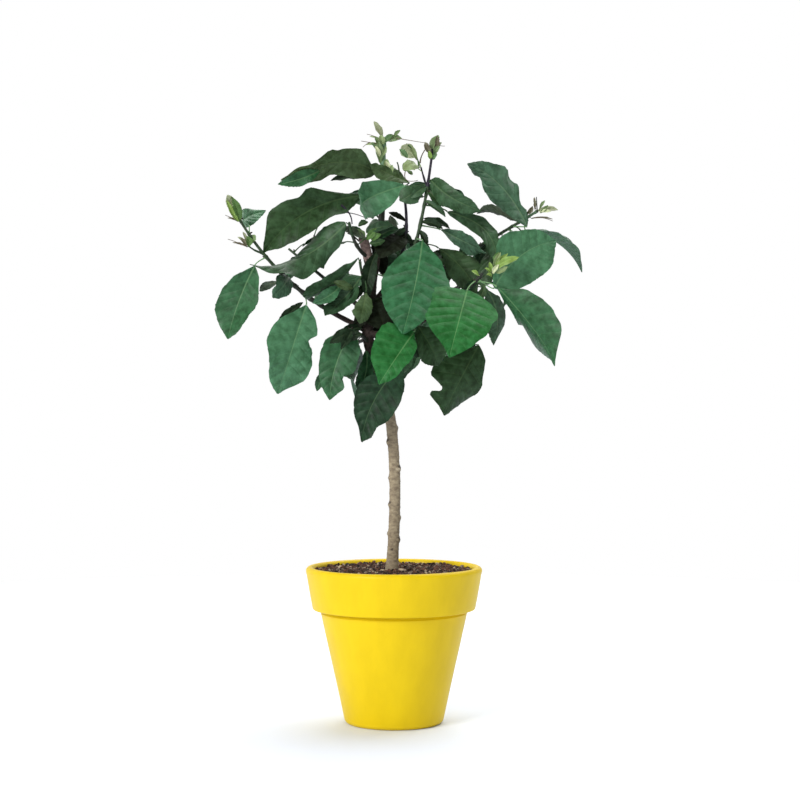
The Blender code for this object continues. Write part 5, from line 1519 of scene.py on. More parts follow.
def pot_profile():
    """Returns the pot's fine profile of radius and height, from the underside to the floor inside."""
    step = POT_HEIGHT - COLLAR_HEIGHT
    lean = math.degrees(math.atan2(BODY_TOP_RADIUS - BODY_FOOT_RADIUS, step))
    rim_round = RIM_WALL / 2.0
    foot_centre = (body_radius(FOOT_ROUNDING) - FOOT_ROUNDING, FOOT_ROUNDING)
    profile = [(0.0, 1.2), (14.0, 1.2), (15.0, 0.4), (44.0, 0.4), (45.0, 0.0)]
    profile += arc(foot_centre, FOOT_ROUNDING, -90, -lean, 7)
    for share in (0.25, 0.5, 0.75, 0.95):
        profile.append((body_radius(step * share), step * share))
    profile += [(BODY_TOP_RADIUS - 1.1, step - 4.4), (BODY_TOP_RADIUS - 2.4, step - 2.6),
                (BODY_TOP_RADIUS - 2.6, step)]
    profile += arc((COLLAR_FOOT_RADIUS - COLLAR_EDGE, step + COLLAR_EDGE), COLLAR_EDGE, -88, -9, 5)
    for share in (0.3, 0.6, 0.9):
        radius = COLLAR_FOOT_RADIUS + (RIM_RADIUS - COLLAR_FOOT_RADIUS) * share
        profile.append((radius, step + (COLLAR_HEIGHT - rim_round) * share))
    profile += arc((RIM_RADIUS - rim_round, POT_HEIGHT - rim_round), rim_round, -8, 180, 14)
    return profile + pot_inside() + [(0.0, FLOOR_THICK)]


def cut_drain_holes(body, holes):
    """Cuts a ring of round drain holes and one in the middle through the pot's floor."""
    shell = bmesh.new()
    spots = [(0.0, 0.0)]
    for index in range(holes):
        angle = 2.0 * math.pi * (index + 0.25) / holes
        spots.append((DRAIN_CIRCLE * math.cos(angle), DRAIN_CIRCLE * math.sin(angle)))
    for x, y in spots:
        radius = DRAIN_RADIUS * MM
        place = Matrix.Translation((x * MM, y * MM, 0.0))
        bmesh.ops.create_cone(shell, cap_ends=True, segments=DRAIN_SIDES, radius1=radius,
                              radius2=radius, depth=4.0 * FLOOR_THICK * MM, matrix=place)
    mesh = bpy.data.meshes.new("drain_cutter")
    shell.to_mesh(mesh)
    shell.free()
    cutter = bpy.data.objects.new("drain_cutter", mesh)
    bpy.context.scene.collection.objects.link(cutter)
    cut = body.modifiers.new("drain holes", "BOOLEAN")
    cut.operation = "DIFFERENCE"
    cut.object = cutter
    cut.solver = "EXACT"
    bpy.context.view_layer.update()
    view = bpy.context.evaluated_depsgraph_get()
    holed = bpy.data.meshes.new_from_object(body.evaluated_get(view))
    body.modifiers.clear()
    body.data = holed
    bpy.data.objects.remove(cutter)
    holed.shade_smooth()
    holed.set_sharp_from_angle(angle=math.radians(POT_SHARP))


def lathe(pile, profile, sides, slot):
    """Adds a profile turned about the Z axis, its first and last points on the axis."""
    angles = np.arange(sides) * (2.0 * math.pi / sides)
    rings = [np.stack([r * np.cos(angles), r * np.sin(angles), np.full(sides, z)], 1)
             for r, z in profile[1:-1]]
    ends = [[0.0, 0.0, profile[0][1]], [0.0, 0.0, profile[-1][1]]]
    add_rings(pile, np.concatenate([*rings, ends]), len(rings), sides, slot, slot)


# Potting mix

def mix_height(x, y):
    """Returns the uneven height of the potting mix at a place, in millimetres."""
    height = MIX_TOP - 0.6
    for layer, (size, rise) in enumerate(MIX_LUMPS):
        height += noise.noise(Vector((x, y, 9.0 * layer)) / size) * rise
    return height + MIX_HEAP * math.exp(-(math.hypot(x, y) / MIX_HEAP_RADIUS) ** 2)


def mix_body(pile, slot):
    """Adds the body of the potting mix: its uneven top and the side that lies in the pot."""
    reach = RIM_RADIUS - RIM_WALL - 0.9
    radii = np.linspace(0.0, reach, MIX_RINGS)[1:]
    angles = np.arange(POT_TURN_SIDES) * (2.0 * math.pi / POT_TURN_SIDES)
    points = [(r * math.cos(a), r * math.sin(a), mix_height(r * math.cos(a), r * math.sin(a)))
              for r in radii for a in angles]
    wall = [(r * math.cos(a), r * math.sin(a), z) for r, z in
            [(radius - GAP, max(height, FLOOR_THICK + GAP)) for radius, height in pot_inside()[1:]]
            for a in angles]
    points += wall + [(0.0, 0.0, mix_height(0.0, 0.0)), (0.0, 0.0, FLOOR_THICK + GAP)]
    rings = len(radii) + 3
    around = np.arange(POT_TURN_SIDES)
    after = (around + 1) % POT_TURN_SIDES
    last = (rings - 1) * POT_TURN_SIDES
    centre = np.full(POT_TURN_SIDES, rings * POT_TURN_SIDES)
    caps = np.concatenate([np.stack([centre, around, after], 1),
                           np.stack([centre + 1, last + after, last + around], 1)])
    pile.add(points, ring_quads(rings, POT_TURN_SIDES)[:, [0, 3, 2, 1]], slot, caps, slot)


def crumbs(pile, slots, draw, count):
    """Scatters rough crumbs of bark over the mix, each a turned and dented twenty-sided lump."""
    shell = bmesh.new()
    bmesh.ops.create_icosphere(shell, subdivisions=1, radius=1.0)
    corners = np.array([v.co for v in shell.verts])
    faces = np.array([[v.index for v in f.verts] for f in shell.faces])
    shell.free()
    reach = RIM_RADIUS - RIM_WALL - 2.5
    shares = [row[-1] for row in MIX_BARKS]
    for _ in range(count):
        radius = reach * math.sqrt(draw.random())
        if radius < TRUNK_RADIUS + FLARE + 1.0:
            continue
        angle = draw.uniform(0.0, 2.0 * math.pi)
        x, y = radius * math.cos(angle), radius * math.sin(angle)
        low, high = CRUMB_RADII
        size = low + (high - low) * draw.random() ** 2.2
        spin = draw.uniform(0, 6.28)
        axis = Vector((draw.gauss(0, 1), draw.gauss(0, 1), draw.gauss(0, 1))).normalized()
        turn = Matrix.Rotation(spin, 3, axis)
        stretch = np.array([draw.uniform(0.6, 1.5), draw.uniform(0.6, 1.1), draw.uniform(0.4, 0.9)])
        dents = np.array([draw.uniform(0.72, 1.15) for _ in corners])[:, None]
        lump = (corners * stretch * dents * size) @ np.array(turn).T
        lump += (x, y, mix_height(x, y) + size * draw.uniform(-0.1, 0.45))
        lump[:, 2] = np.minimum(lump[:, 2], POT_HEIGHT - 1.2)
        pile.add(lump, triangles=faces, triangle_slots=draw.choices(slots, shares)[0])


# Trunk and boughs

def bark_relief(x, y, z, radius):
    """Returns how far the bark stands out at a place: fissures, rings of pores and swellings."""
    around = math.atan2(y, x)
    skin_place = Vector((math.cos(around) * radius, math.sin(around) * radius, z * 0.4))
    ridges = 1.0 - abs(noise.noise(skin_place * 0.42)) * 2.4
    plates = noise.noise(Vector((x * 0.3, y * 0.3, z * 0.55)))
    pore_bands = noise.noise(Vector((math.cos(around) * 2.0, math.sin(around) * 2.0, z * 0.9)))
    pores = max(0.0, pore_bands - 0.28) * 1.5
    swell = noise.noise(Vector((0.0, around * 0.4, z * 0.045)))
    ridge_rise, plate_rise, pore_rise, swell_rise = BARK_RISES
    return ridges * ridge_rise + plates * plate_rise + pores * pore_rise + swell * swell_rise


def trunk_rings():
    """Returns the trunk's fine rings, ending in the edge of its flat cut, and their heights."""
    count = round((TRUNK_TOP - TRUNK_FOOT + TRUNK_SINK) / BARK_STEP)
    rings = []
    heights = []
    for index in range(count + 1):
        height = TRUNK_FOOT - TRUNK_SINK + (TRUNK_TOP - TRUNK_FOOT + TRUNK_SINK) * index / count
        middle = trunk_axis(max(height, TRUNK_FOOT))
        ease = smooth_step((TRUNK_TOP - height) / CUT_EDGE_HEIGHT)
        ring = []
        for side in range(BARK_SIDES):
            angle = 2.0 * math.pi * side / BARK_SIDES
            way_x, way_y = math.cos(angle), math.sin(angle)
            radius = trunk_radius(max(height, TRUNK_FOOT), angle)
            radius += bark_relief(way_x * radius, way_y * radius, height, radius)
            radius -= CUT_EDGE_DEPTH * (1.0 - ease)
            ring.append((middle.x + way_x * radius, middle.y + way_y * radius, height))
        rings.append(ring)
        heights.append(height)
    return np.array(rings), heights


def scar_share(height, angle):
    """Returns how strongly a bud scar marks the bark at a height and an angle."""
    shares = []
    for scar, turn in scar_turns(angle):
        width = math.exp(-(math.sin(turn / 2.0) / SCAR_FACE_HALF_TURN) ** 2)
        shares.append(width * math.exp(-(((height - scar) / SCAR_FACE_HALF_HEIGHT) ** 2)))
    return max(shares)


def mark_share(height, angle, mark):
    """Returns how strongly one of the marks on the trunk covers a place."""
    place, turn, tall, wide = mark
    around = math.sin((angle - turn) / 2.0) * 2.0 / wide
    return math.exp(-(((height - place) / tall) ** 2) - around ** 2)


def bark_part(height, angle):
    """Returns which bark the trunk shows at a height and an angle."""
    if scar_share(height - SCAR_FACE_DROP, angle) > 0.42:
        return "scar"
    if mark_share(height, angle, PRUNING_SCAR) > 0.5:
        return "scar"
    if mark_share(height, angle, NODE_RING) > 0.5:
        return "node"
    place = Vector((math.cos(angle) * 2.0, math.sin(angle) * 2.0, height * 0.12))
    ragged = height + 7.0 * noise.noise(place)
    return "own" if ragged < SHADED_FROM else "shaded" if ragged < STUB_FROM else "stub"


def bough_radius(limb, tip_radius, length):
    """Returns a bough's radius at a share of its length: a knotty taper with a collar at its foot."""
    def radius(share):
        place = share * length
        plain = limb.radius + (tip_radius - limb.radius) * share
        collar = BOUGH_COLLAR * math.exp(-((place - TRUNK_RADIUS) / BOUGH_COLLAR_LENGTH) ** 2)
        knots = 0.16 * noise.noise(Vector((place * 0.16, name_number(limb), 0.0)))
        return plain * (1.0 + knots) + collar

    return radius


# Leaves

def turned_about(vectors, axis, angles):
    """Turns vectors square to a unit axis by angles, as arrays."""
    return vectors * np.cos(angles)[..., None] + np.cross(axis, vectors) * np.sin(angles)[..., None]


def fine_width(shares, peak):
    """Returns the half width of a leaf at shares of its length, drawn out to a small point."""
    inside = np.clip(shares, 0.0, 1.0)
    width = 0.97 * np.sin(np.pi * inside ** peak).clip(0.0) ** 0.7
    return width * (1.0 - 0.34 * np.clip((inside - 0.88) / 0.12, 0.0, 1.0) ** 1.5)


def edge_factor(shares, side, edges):
    """Returns how much wider than plain each side of a blade is, eased between the stations."""
    factor = np.ones(shares.shape)
    for which, row in zip((-1, 1), edges):
        place = np.interp(shares, EDGE_STATIONS, np.arange(len(EDGE_STATIONS)))
        low = np.minimum(place.astype(int), len(row) - 2)
        step = place - low
        step = step * step * (3.0 - 2.0 * step)
        values = np.array(row)
        factor = np.where(side == which, values[low] * (1.0 - step) + values[low + 1] * step, factor)
    return factor


def upper_side(pose):
    """Returns 1 where the side of a blade that its face points to shows to the view, otherwise -1."""
    facing = 0.0
    for t in LEAF_STATIONS[1:-1]:
        to_view = (VIEW_POINT - midrib(pose, t)).normalized()
        facing += face_at(pose, t).dot(to_view) * blade_width(t, pose.peak)
    return 1.0 if facing >= 0.0 else -1.0


def blade_rows(length, pairs, between, draw):
    """Returns the shares of a blade's length where its rows lie, and 1 for each row of a side vein."""
    half_vein = VEIN_HALF / length
    rows = [(0.004, 0), (0.03, 0)]
    for vein in range(pairs):
        place = VEIN_FIRST + VEIN_SPAN * (vein + draw.uniform(-0.12, 0.12)) / (pairs - 1)
        rows += [(place - half_vein, 1), (place, 1), (place + half_vein, 0)]
        rows += [(place + VEIN_SPAN / (pairs - 1) * step, 0) for step in between]
    rows = sorted([row for row in rows if row[0] < 0.965] + [(0.975, 0), (0.996, 0)])
    return np.array([row[0] for row in rows]), np.array([row[1] for row in rows])


def blade_mesh(pile, pose, looks, up, draw):
    """Adds a leaf blade whose rows follow its side veins, its upper skin on the side that up names."""
    length = pose.reach.length
    young = length < YOUNG_LENGTH
    pairs = YOUNG_VEIN_PAIRS if young else VEIN_PAIRS
    rows, vein_rows = blade_rows(length, pairs, (0.5,) if young else (0.36, 0.64), draw)
    steps = np.array(COLUMN_SHARES)
    outer = np.concatenate([-steps[::-1], [0.0], steps])
    on_midrib = np.concatenate([-np.ones(len(steps)), [0.0], np.ones(len(steps))])
    u = np.repeat(rows[:, None], len(outer), 1)
    c = np.repeat(outer[None], len(rows), 0)
    side = np.repeat(on_midrib[None], len(rows), 0)
    out = np.abs(c)

    # Rows bend towards the tip with their veins, and columns keep clear of the midrib
    wander = draw.uniform(0.85, 1.15)
    t = u + VEIN_LEAD * wander * out ** 1.15 * 4.0 * u * (1.0 - u) * (1.0 + 0.12 * side)
    t = np.clip(t, 0.0, 0.998)
    half = pose.wide / 2.0 * fine_width(t, pose.peak) * edge_factor(t, side, looks.edges)
    for at, which, depth, width in looks.bites:
        dent = depth * np.exp(-np.abs((t - at) / width) ** 3)
        half = half * (1.0 - np.where(np.sign(c) == which, dent * out ** 2, 0.0))
    rib = np.minimum(0.45, MIDRIB_HALF * (1.15 - t) / np.maximum(half, 0.01))
    s = side * rib + c * (1.0 - rib)

    # The edge is uneven in fine teeth and in long lobes
    teeth = np.where(out > 0.99, draw.uniform(0.25, 0.6), 0.0)
    jitter = np.array([[draw.uniform(-1.0, 1.0) for _ in range(2)] for _ in rows])
    edge_move = teeth * np.where(c < 0, jitter[:, :1], jitter[:, 1:])
    lobes = [draw.uniform(0.0, 6.28) for _ in range(4)]
    uneven = np.where(c < 0, np.sin(9.0 * t + lobes[0]) + 0.6 * np.sin(21.0 * t + lobes[1]),
                      np.sin(10.0 * t + lobes[2]) + 0.6 * np.sin(19.0 * t + lobes[3]))
    half = half * (1.0 + EDGE_UNEVEN * looks.wavy * uneven * out ** 2)

    # Each point stands on the arched and swept midrib, and out from it square to the turned face
    along = np.array(pose.reach.normalized())
    face = np.array(pose.face)
    eased = np.clip(t, 0.0, 1.0)
    eased = eased * eased * (3.0 - 2.0 * eased)
    faces = np.broadcast_to(face, t.shape + (3,))
    normal = turned_about(faces, along, math.radians(pose.twist) * eased)
    bow = length * 4.0 * t * (1.0 - t)
    points = np.array(pose.base) + np.array(pose.reach) * t[..., None]
    points = points + face * (pose.arch * bow)[..., None]
    points = points + np.cross(along, face) * (pose.sweep * bow)[..., None]
    points = points + np.cross(along, normal) * (half * s + np.sign(c) * edge_move)[..., None]

    # The blade rises with its fold, waves at the edge, quilts between veins and sinks at the midrib
    waves = draw.uniform(1.6, 3.4)
    starts = draw.uniform(0.0, 6.28), draw.uniform(0.0, 6.28)
    swing = np.sin(2.0 * math.pi * waves * t + np.where(c < 0, starts[0], starts[1]))
    tall = draw.uniform(0.012, 0.026) * length * looks.wavy
    wave = tall * swing * out ** 2.2 * np.minimum(1.0, half / 6.0)
    vein_places = rows[np.flatnonzero(vein_rows)[1::2]]
    gap = np.min(np.abs(u[..., None] - vein_places[None, None]), axis=-1) * (pairs - 1) / VEIN_SPAN
    quilt = np.sin(np.clip(gap, 0.0, 0.5) * math.pi) ** 0.7
    quilt = quilt * out ** 0.5 * (1.0 - out ** 4) * QUILT_SHARE * length
    groove = -MIDRIB_GROOVE * np.exp(-((half * s) / 1.6) ** 2)
    curl = -draw.uniform(0.0, 0.05) * length * np.clip((t - 0.65) / 0.35, 0.0, 1.0) ** 2
    rise = half * pose.fold * np.abs(s) ** 1.35 + wave + up * (quilt + groove) + curl
    points = points + normal * rise[..., None]
    ridge = MIDRIB_RIDGE * (1.1 - t) * np.exp(-((half * s) / 0.9) ** 2)
    below = points - normal * (up * (BLADE_THICK + ridge))[..., None]
    turn = 1 if up > 0 else -1
    slots = [pile.slot_of(finish) for finish in tone_finishes(looks.tone)]
    add_two_sided(pile, points[:, ::turn], below[:, ::turn], slots, vein_rows, outer, on_midrib)


def add_two_sided(pile, above, below, slots, vein_rows, outer, on_midrib):
    """Adds an upper grid and the grid below it, joined round the edge, with vein faces picked out."""
    count, wide = above.shape[:2]
    top = np.arange(count * wide).reshape(count, wide)
    inner = np.zeros((count, wide), bool)
    inner[1:-1, 1:-1] = True
    bottom = top.copy()
    bottom[inner] = count * wide + np.arange(inner.sum())
    upper = np.stack([top[:-1, :-1], top[:-1, 1:], top[1:, 1:], top[1:, :-1]], -1)
    lower = np.stack([bottom[:-1, :-1], bottom[1:, :-1], bottom[1:, 1:], bottom[:-1, 1:]], -1)
    upper_slot, vein_slot, midrib_slot, under_slot, under_rib_slot = slots
    skins = np.full((count - 1, wide - 1), upper_slot)
    under = np.full((count - 1, wide - 1), under_slot)
    near_midrib = np.maximum(np.abs(outer[:-1]), np.abs(outer[1:])) < 0.9
    skins[np.ix_(vein_rows[:-1] > 0, near_midrib)] = vein_slot
    ribs = (on_midrib[:-1] == 0) | (on_midrib[1:] == 0)
    skins[:, ribs] = midrib_slot
    under[:, ribs] = under_rib_slot
    points = np.concatenate([above.reshape(-1, 3), below[inner]])
    pile.add(points, np.concatenate([upper.reshape(-1, 4), lower.reshape(-1, 4)]),
             np.concatenate([skins.ravel(), under.ravel()]))


# Finer growth

def grow_spurs(masses, crown):
    """Grows short spurs with small leaves by rule, where the photograph's view doesn't see them."""
    draw = random.Random(SEED + 1)
    for mass in masses:
        lines = [(mass.curve, mass.start, mass.length * (1.0 - mass.start))]
        lines += [(line, 0.25, (line(1.0) - line(0.25)).length) for line in mass.twigs]
        for line, low, length in lines:
            for index in range(max(1, round(length / SPUR_STEP))):
                place = min(0.97, (index + draw.uniform(0.3, 0.9)) * SPUR_STEP / length)
                grow_spur(mass, line(low + (1.0 - low) * place), index, crown, draw)


def grow_spur(mass, seat, index, crown, draw):
    """Grows one spur and the leaves at its end, each clear of what already stands."""
    angle = index * GOLDEN_ANGLE + draw.uniform(-1.0, 1.0)
    reach = heading(angle, draw.uniform(*SPUR_DIPS)) * draw.uniform(*SPUR_LENGTHS)
    line = straight(seat, seat + reach)
    if crown.shown_share([line(0.6), line(1.0)]) > 0.0:
        return
    room = tube(line, 0.3, 1.0, (SPUR_ROOM, SPUR_ROOM), TWIG_SIDES, TWIG_RINGS)
    if not crown.clear(room, (mass.limb.name,)):
        return
    grown = 0
    for _ in range(SPUR_TRIES):
        pose = spur_leaf(line(1.0), angle, draw)
        if not inside_crown(pose):
            continue
        if crown.shown_share(blade(pose, SHOWN_MARGIN)[0]) > SHOWN_SHARE:
            continue
        if is_clear(mass, line(1.0), pose, crown, True):
            keep_leaf(mass, line(1.0), pose, crown)
            grown += 1
        if grown == SPUR_LEAVES:
            break
    if grown:
        mass.spurs.append(line)
        crown.add(mass.limb.name, tube(line, 0.0, 1.0, SPUR_RADII, TWIG_SIDES, TWIG_RINGS))


def spur_leaf(seat, angle, draw):
    """Returns the pose of a small leaf drawn by rule at the end of a spur."""
    turn = angle + draw.uniform(-SPUR_LEAF_TURNS, SPUR_LEAF_TURNS)
    dip = draw.uniform(*SPUR_LEAF_DIPS)
    reach = heading(turn, dip) * draw.uniform(*SPUR_LEAF_LENGTHS)
    base = seat + heading(turn, dip - SPUR_STALK_RISE) * draw.uniform(*SPUR_STALK_LENGTHS)
    outward = (base + reach * 0.5 - CROWN_CENTRE).normalized()
    wide = reach.length * draw.uniform(*SPUR_LEAF_SLENDERNESS)
    return Pose(base, reach, wide, at_right_angles(outward + SKYWARD, reach),
                draw.uniform(*SPUR_LEAF_ARCHES), draw.uniform(*LEAF_SWEEPS),
                draw.uniform(*SPUR_LEAF_FOLDS), draw.uniform(*LEAF_TWISTS),
                draw.uniform(*SPUR_LEAF_PEAKS))


def inside_crown(pose):
    """Says whether a blade keeps to the reach of the solids."""
    low, high = (np.array(corner) / MM for corner in CAD_BOX)
    points = np.array([tuple(point) for point in blade(pose)[0]])
    return bool(((points > low + CROWN_MARGIN) & (points < high - CROWN_MARGIN)).all())


@functools.cache
def grown_masses():
    """Grows the whole crown once: the leaves of the solids first, then the finer spurs."""
    crown = Crown(trunk_shape())
    for limb in LIMBS:
        if limb.bough:
            crown.add(limb.name + " bough", bough_shape(limb, CLEARANCE))
    draw = random.Random(SEED)
    masses = [Mass(limb) for limb in LIMBS]
    for mass in masses:
        crown.add(mass.limb.name, stem_shape(mass))
        for at, reach in mass.limb.twigs:
            grow_twig(mass, mass.curve(at), Vector(reach), crown)
    for mass in masses:
        for leaf in mass.limb.leaves:
            grow_shown_leaf(mass, leaf, crown)
    for mass in masses:
        grow_side_twigs(mass, crown, draw)
        grow_more_leaves(mass, crown, draw)
    grow_spurs(masses, crown)
    return masses


def name_number(limb):
    """Returns a number that stands for a limb's name, to draw by."""
    return sum(map(ord, limb.name))


def swollen(start_radius, end_radius, seats, length, swell=0.35):
    """Returns a stem's radius at a share of its length, swollen a little at each leaf seat."""
    def radius(share):
        plain = start_radius + (end_radius - start_radius) * share
        bulge = sum(math.exp(-((share - seat) * length / SEAT_SWELL_LENGTH) ** 2) for seat in seats)
        return plain * (1.0 + swell * min(bulge, 1.0))

    return radius


def twig_mesh(mass):
    """Makes the stem, side twigs, spurs, threads, leaf stalks and buds of one mass."""
    pile = Pile()
    limb = mass.limb
    seed = name_number(limb) * 0.37
    length = mass.length * (1.0 - mass.start)
    seats = [(leaf.at - mass.start) / (1.0 - mass.start) for leaf in limb.leaves if leaf.on == 0]
    count = max(12, round(length / STEM_FINE_STEP))
    radius = swollen(mass.radius(mass.start), limb.tip_radius * 0.9, seats, length)
    kinds = STEM_KINDS.get(limb.name, PLAIN_STEM)
    fine_tube(pile, mass.curve, radius, STEM_FINE_SIDES, count, kinds, start=mass.start)
    radius = swollen(TWIG_RADIUS, 0.8, (0.5, 1.0), 30.0)
    for line in mass.twigs:
        fine_tube(pile, line, radius, 7, 10, kinds[-1:], seed=seed, crook=1.2)
    radius = swollen(1.05, 0.8, (0.0, 1.0), 12.0)
    for line in mass.spurs:
        fine_tube(pile, line, radius, 6, 6, ("dark",), seed=seed, crook=0.5)
    for kind, thick, *places in FINE_THREADS.get(limb.name, ()):
        curve = through(*(Vector(place) for place in places), 0.5)
        radius = swollen(thick, thick * 0.7, (0.0,), 12.0)
        fine_tube(pile, curve, radius, 6, 8, (kind,), seed=seed, crook=0.4)
    for index, (seat, pose) in enumerate(mass.leaves):
        young = pose.reach.length < YOUNG_LENGTH
        tone = looks_of(mass, index)[0].tone
        kind = "tip" if tone in YOUNG_TONES else "pale_stalk" if tone in PALE_RIBBED else "stalk"
        thick = 0.55 if young else 0.8
        radius = swollen(thick, thick * 0.8, (0.0, 1.0), 14.0, 0.5)
        fine_tube(pile, stalk_curve(seat, pose), radius, STALK_FINE_SIDES, 5 if young else 9, (kind,))
        if not young:
            add_bud(pile, seat, pose)
    return pile


def add_bud(pile, seat, pose):
    """Adds the small pointed bud that sits in the angle above a leaf stalk."""
    way = (midrib(pose, 0.0) - seat).normalized()
    up = at_right_angles(Vector((0.2, 0.1, 1.0)), way) if abs(way.z) < 0.95 else Vector((1, 0, 0))
    lean = (way * 0.5 + up).normalized()
    root = seat + way * 1.6 + up * 0.6

    def radius(share):
        return 0.95 * math.sin(math.pi * (0.2 + 0.8 * share)) ** 0.8 + 0.06

    # The bud takes the shaded bark, a painted shade colour
    fine_tube(pile, straight(root, root + lean * 3.4), radius, 6, 6, ("bark",))


def looks_of(mass, index):
    """Returns a leaf's looks, and which side of its blade is the upper one."""
    shown = SHOWN_LOOKS.get(mass.limb.name, ())
    if index < len(shown):
        return shown[index], upper_side(mass.leaves[index][1])
    return Looks(RULE_TONES[(index + name_number(mass.limb)) % len(RULE_TONES)]), 1.0


def leaf_mesh(mass):
    """Makes all the blades of one mass, each in its own tone."""
    pile = Pile()
    draw = random.Random(name_number(mass.limb))
    for index, (_, pose) in enumerate(mass.leaves):
        blade_mesh(pile, pose, *looks_of(mass, index), draw)
    for base, reach, wide, tone in FINE_LEAVES.get(mass.limb.name, ()):
        way = Vector(reach)
        face = at_right_angles(Vector((0.2, -1.0, 0.3)), way)
        pose = Pose(Vector(base), way, wide, face, draw.uniform(0.04, 0.12),
                    draw.uniform(-0.12, 0.12), draw.uniform(0.2, 0.5), draw.uniform(*LEAF_TWISTS), 1.05)
        blade_mesh(pile, pose, Looks(tone), 1.0, draw)
    return pile


# Sizes and colours that a user may change

def colour_property(name, description, colour):
    """Returns a colour that a user may change, its default given as hex."""
    return FloatVectorProperty(name=name, description=description, size=3, subtype="COLOR", min=0.0,
                               max=1.0, default=hex_colour(colour)[:3])


def power_property(name, description, power):
    """Returns a light's power that a user may change, in watts."""
    return FloatProperty(name=name, description=description, default=power, min=0.0, unit="POWER")


class PlumPotSettings(bpy.types.PropertyGroup):
    """Colours and drain holes of the visible pot."""

    shade: colour_property("Shade", "Darker of the two pot yellows", "#D8B803")
    tint: colour_property("Tint", "Lighter of the two pot yellows", "#E0C005")
    holes: IntProperty(name="Drain Holes", description="Number of drain holes in the outer ring",
                       default=DRAIN_HOLES, min=0, max=12)


class PlumMixSettings(bpy.types.PropertyGroup):
    """Number of the potting mix's crumbs."""

    crumb_count: IntProperty(name="Crumbs", description="Number of loose crumbs on the mix",
                             default=CRUMB_COUNT, min=100, max=6000)


class PlumTrunkSettings(bpy.types.PropertyGroup):
    """Colours of the trunk's bark."""

    shade: colour_property("Shade", "Darker of the two bark colours", "#756753")
    tint: colour_property("Tint", "Lighter of the two bark colours", "#9C8E74")


class PlumStageSettings(bpy.types.PropertyGroup):
    """Size and strength of the studio round the tree."""

    floor_radius: FloatProperty(name="Floor Radius", description="Radius of the pale floor",
                                default=1.7, min=0.5, unit="LENGTH")
    key_power: power_property("Key Light", "Strength of the light from the left", 66.0)
    fill_power: power_property("Fill Light", "Strength of the light from the right", 0.5)
    top_power: power_property("Top Light", "Strength of the light from above", 85.0)


# Operators

class PLUM_OT_pot(bpy.types.Operator):
    """Makes the moulded pot with its collar, round rim and drain holes"""

    bl_idname = "plum.pot"
    bl_label = "Make Pot"

    def execute(self, context):
        settings = context.scene.plum_pot
        pile = Pile()
        slot = pile.slot_of(moulded_polypropylene((*settings.shade, 1.0), (*settings.tint, 1.0)))
        lathe(pile, pot_profile(), POT_TURN_SIDES, slot)
        pot = pile.to_object("pot_moulding", POT_SHARP)
        cut_drain_holes(pot, settings.holes)
        put_in_place(pot, "yellow_plastic", "pot")
        return {"FINISHED"}


class PLUM_OT_mix(bpy.types.Operator):
    """Makes the potting mix with its loose crumbs of bark"""

    bl_idname = "plum.mix"
    bl_label = "Make Potting Mix"

    def execute(self, context):
        draw = random.Random(SEED)
        pile = Pile()
        slots = [pile.slot_of(potting_bark(*row[:-1])) for row in MIX_BARKS]
        mix_body(pile, slots[0])
        crumbs(pile, slots, draw, context.scene.plum_mix.crumb_count)
        put_in_place(pile.to_object("potting_mix_crumbs", 30.0), "dark_compost", "potting_mix")
        return {"FINISHED"}


class PLUM_OT_trunk(bpy.types.Operator):
    """Makes the trunk with its bark relief, bud scars and flat cut top"""

    bl_idname = "plum.trunk"
    bl_label = "Make Trunk"

    def execute(self, context):
        pile = Pile()
        settings = context.scene.plum_trunk
        own = plum_bark("plum_bark", (*settings.shade, 1.0), (*settings.tint, 1.0), BARK_STREAK)
        slots = {"own": pile.slot_of(own)}
        for part, bark in TRUNK_BARKS.items():
            slots[part] = pile.slot_of(bark_finish(*bark))
        rings, heights = trunk_rings()
        angles = [2.0 * math.pi * (side + 0.5) / BARK_SIDES for side in range(BARK_SIDES)]
        faces = [slots[bark_part(height, angle)] for height in heights[:-1] for angle in angles]
        add_rings(pile, with_middles(rings), len(rings), BARK_SIDES, faces, slots["cut"])
        put_in_place(pile.to_object("trunk_bark", 55.0), "grey_brown_bark", "trunk")
        return {"FINISHED"}


class PLUM_OT_boughs(bpy.types.Operator):
    """Makes the boughs, each swollen where it leaves the trunk"""

    bl_idname = "plum.boughs"
    bl_label = "Make Boughs"

    def execute(self, context):
        pile = Pile()
        names = []
        for mass in grown_masses():
            limb = mass.limb
            if not limb.bough:
                continue
            names.append(limb.name + "_bough")
            curve = limb_curve(limb)
            length = sum((curve((i + 1) / 20 * mass.start) - curve(i / 20 * mass.start)).length
                         for i in range(20))
            radius = bough_radius(limb, mass.radius(mass.start), length)
            # Boughs take the shaded bark, then a dark shoot finish: painted shade where they run inside
            # the crown
            fine_tube(pile, curve, radius, BOUGH_SIDES, round(length / BOUGH_STEP),
                      ("bark", "bark", "dark"), end=mass.start)
        put_in_place(pile.to_object("boughs_bark", 55.0), "grey_brown_bark", *names)
        return {"FINISHED"}


class PLUM_OT_twigs(bpy.types.Operator):
    """Makes the stems, side twigs, spurs, buds and leaf stalks of each mass"""

    bl_idname = "plum.twigs"
    bl_label = "Make Twigs"

    def execute(self, context):
        # A fixed seed bends the twigs in the same way in each run
        noise.seed_set(SEED)
        for mass in grown_masses():
            piece = twig_mesh(mass).to_object(mass.limb.name + "_twigs")
            put_in_place(piece, "green_leaf", mass.limb.name + "_foliage")
        return {"FINISHED"}


class PLUM_OT_leaves(bpy.types.Operator):
    """Makes the veined leaf blades of each mass"""

    bl_idname = "plum.leaves"
    bl_label = "Make Leaves"

    def execute(self, context):
        for mass in grown_masses():
            piece = leaf_mesh(mass).to_object(mass.limb.name + "_leaves", 75.0)
            put_in_place(piece, "green_leaf", mass.limb.name + "_foliage")
        return {"FINISHED"}


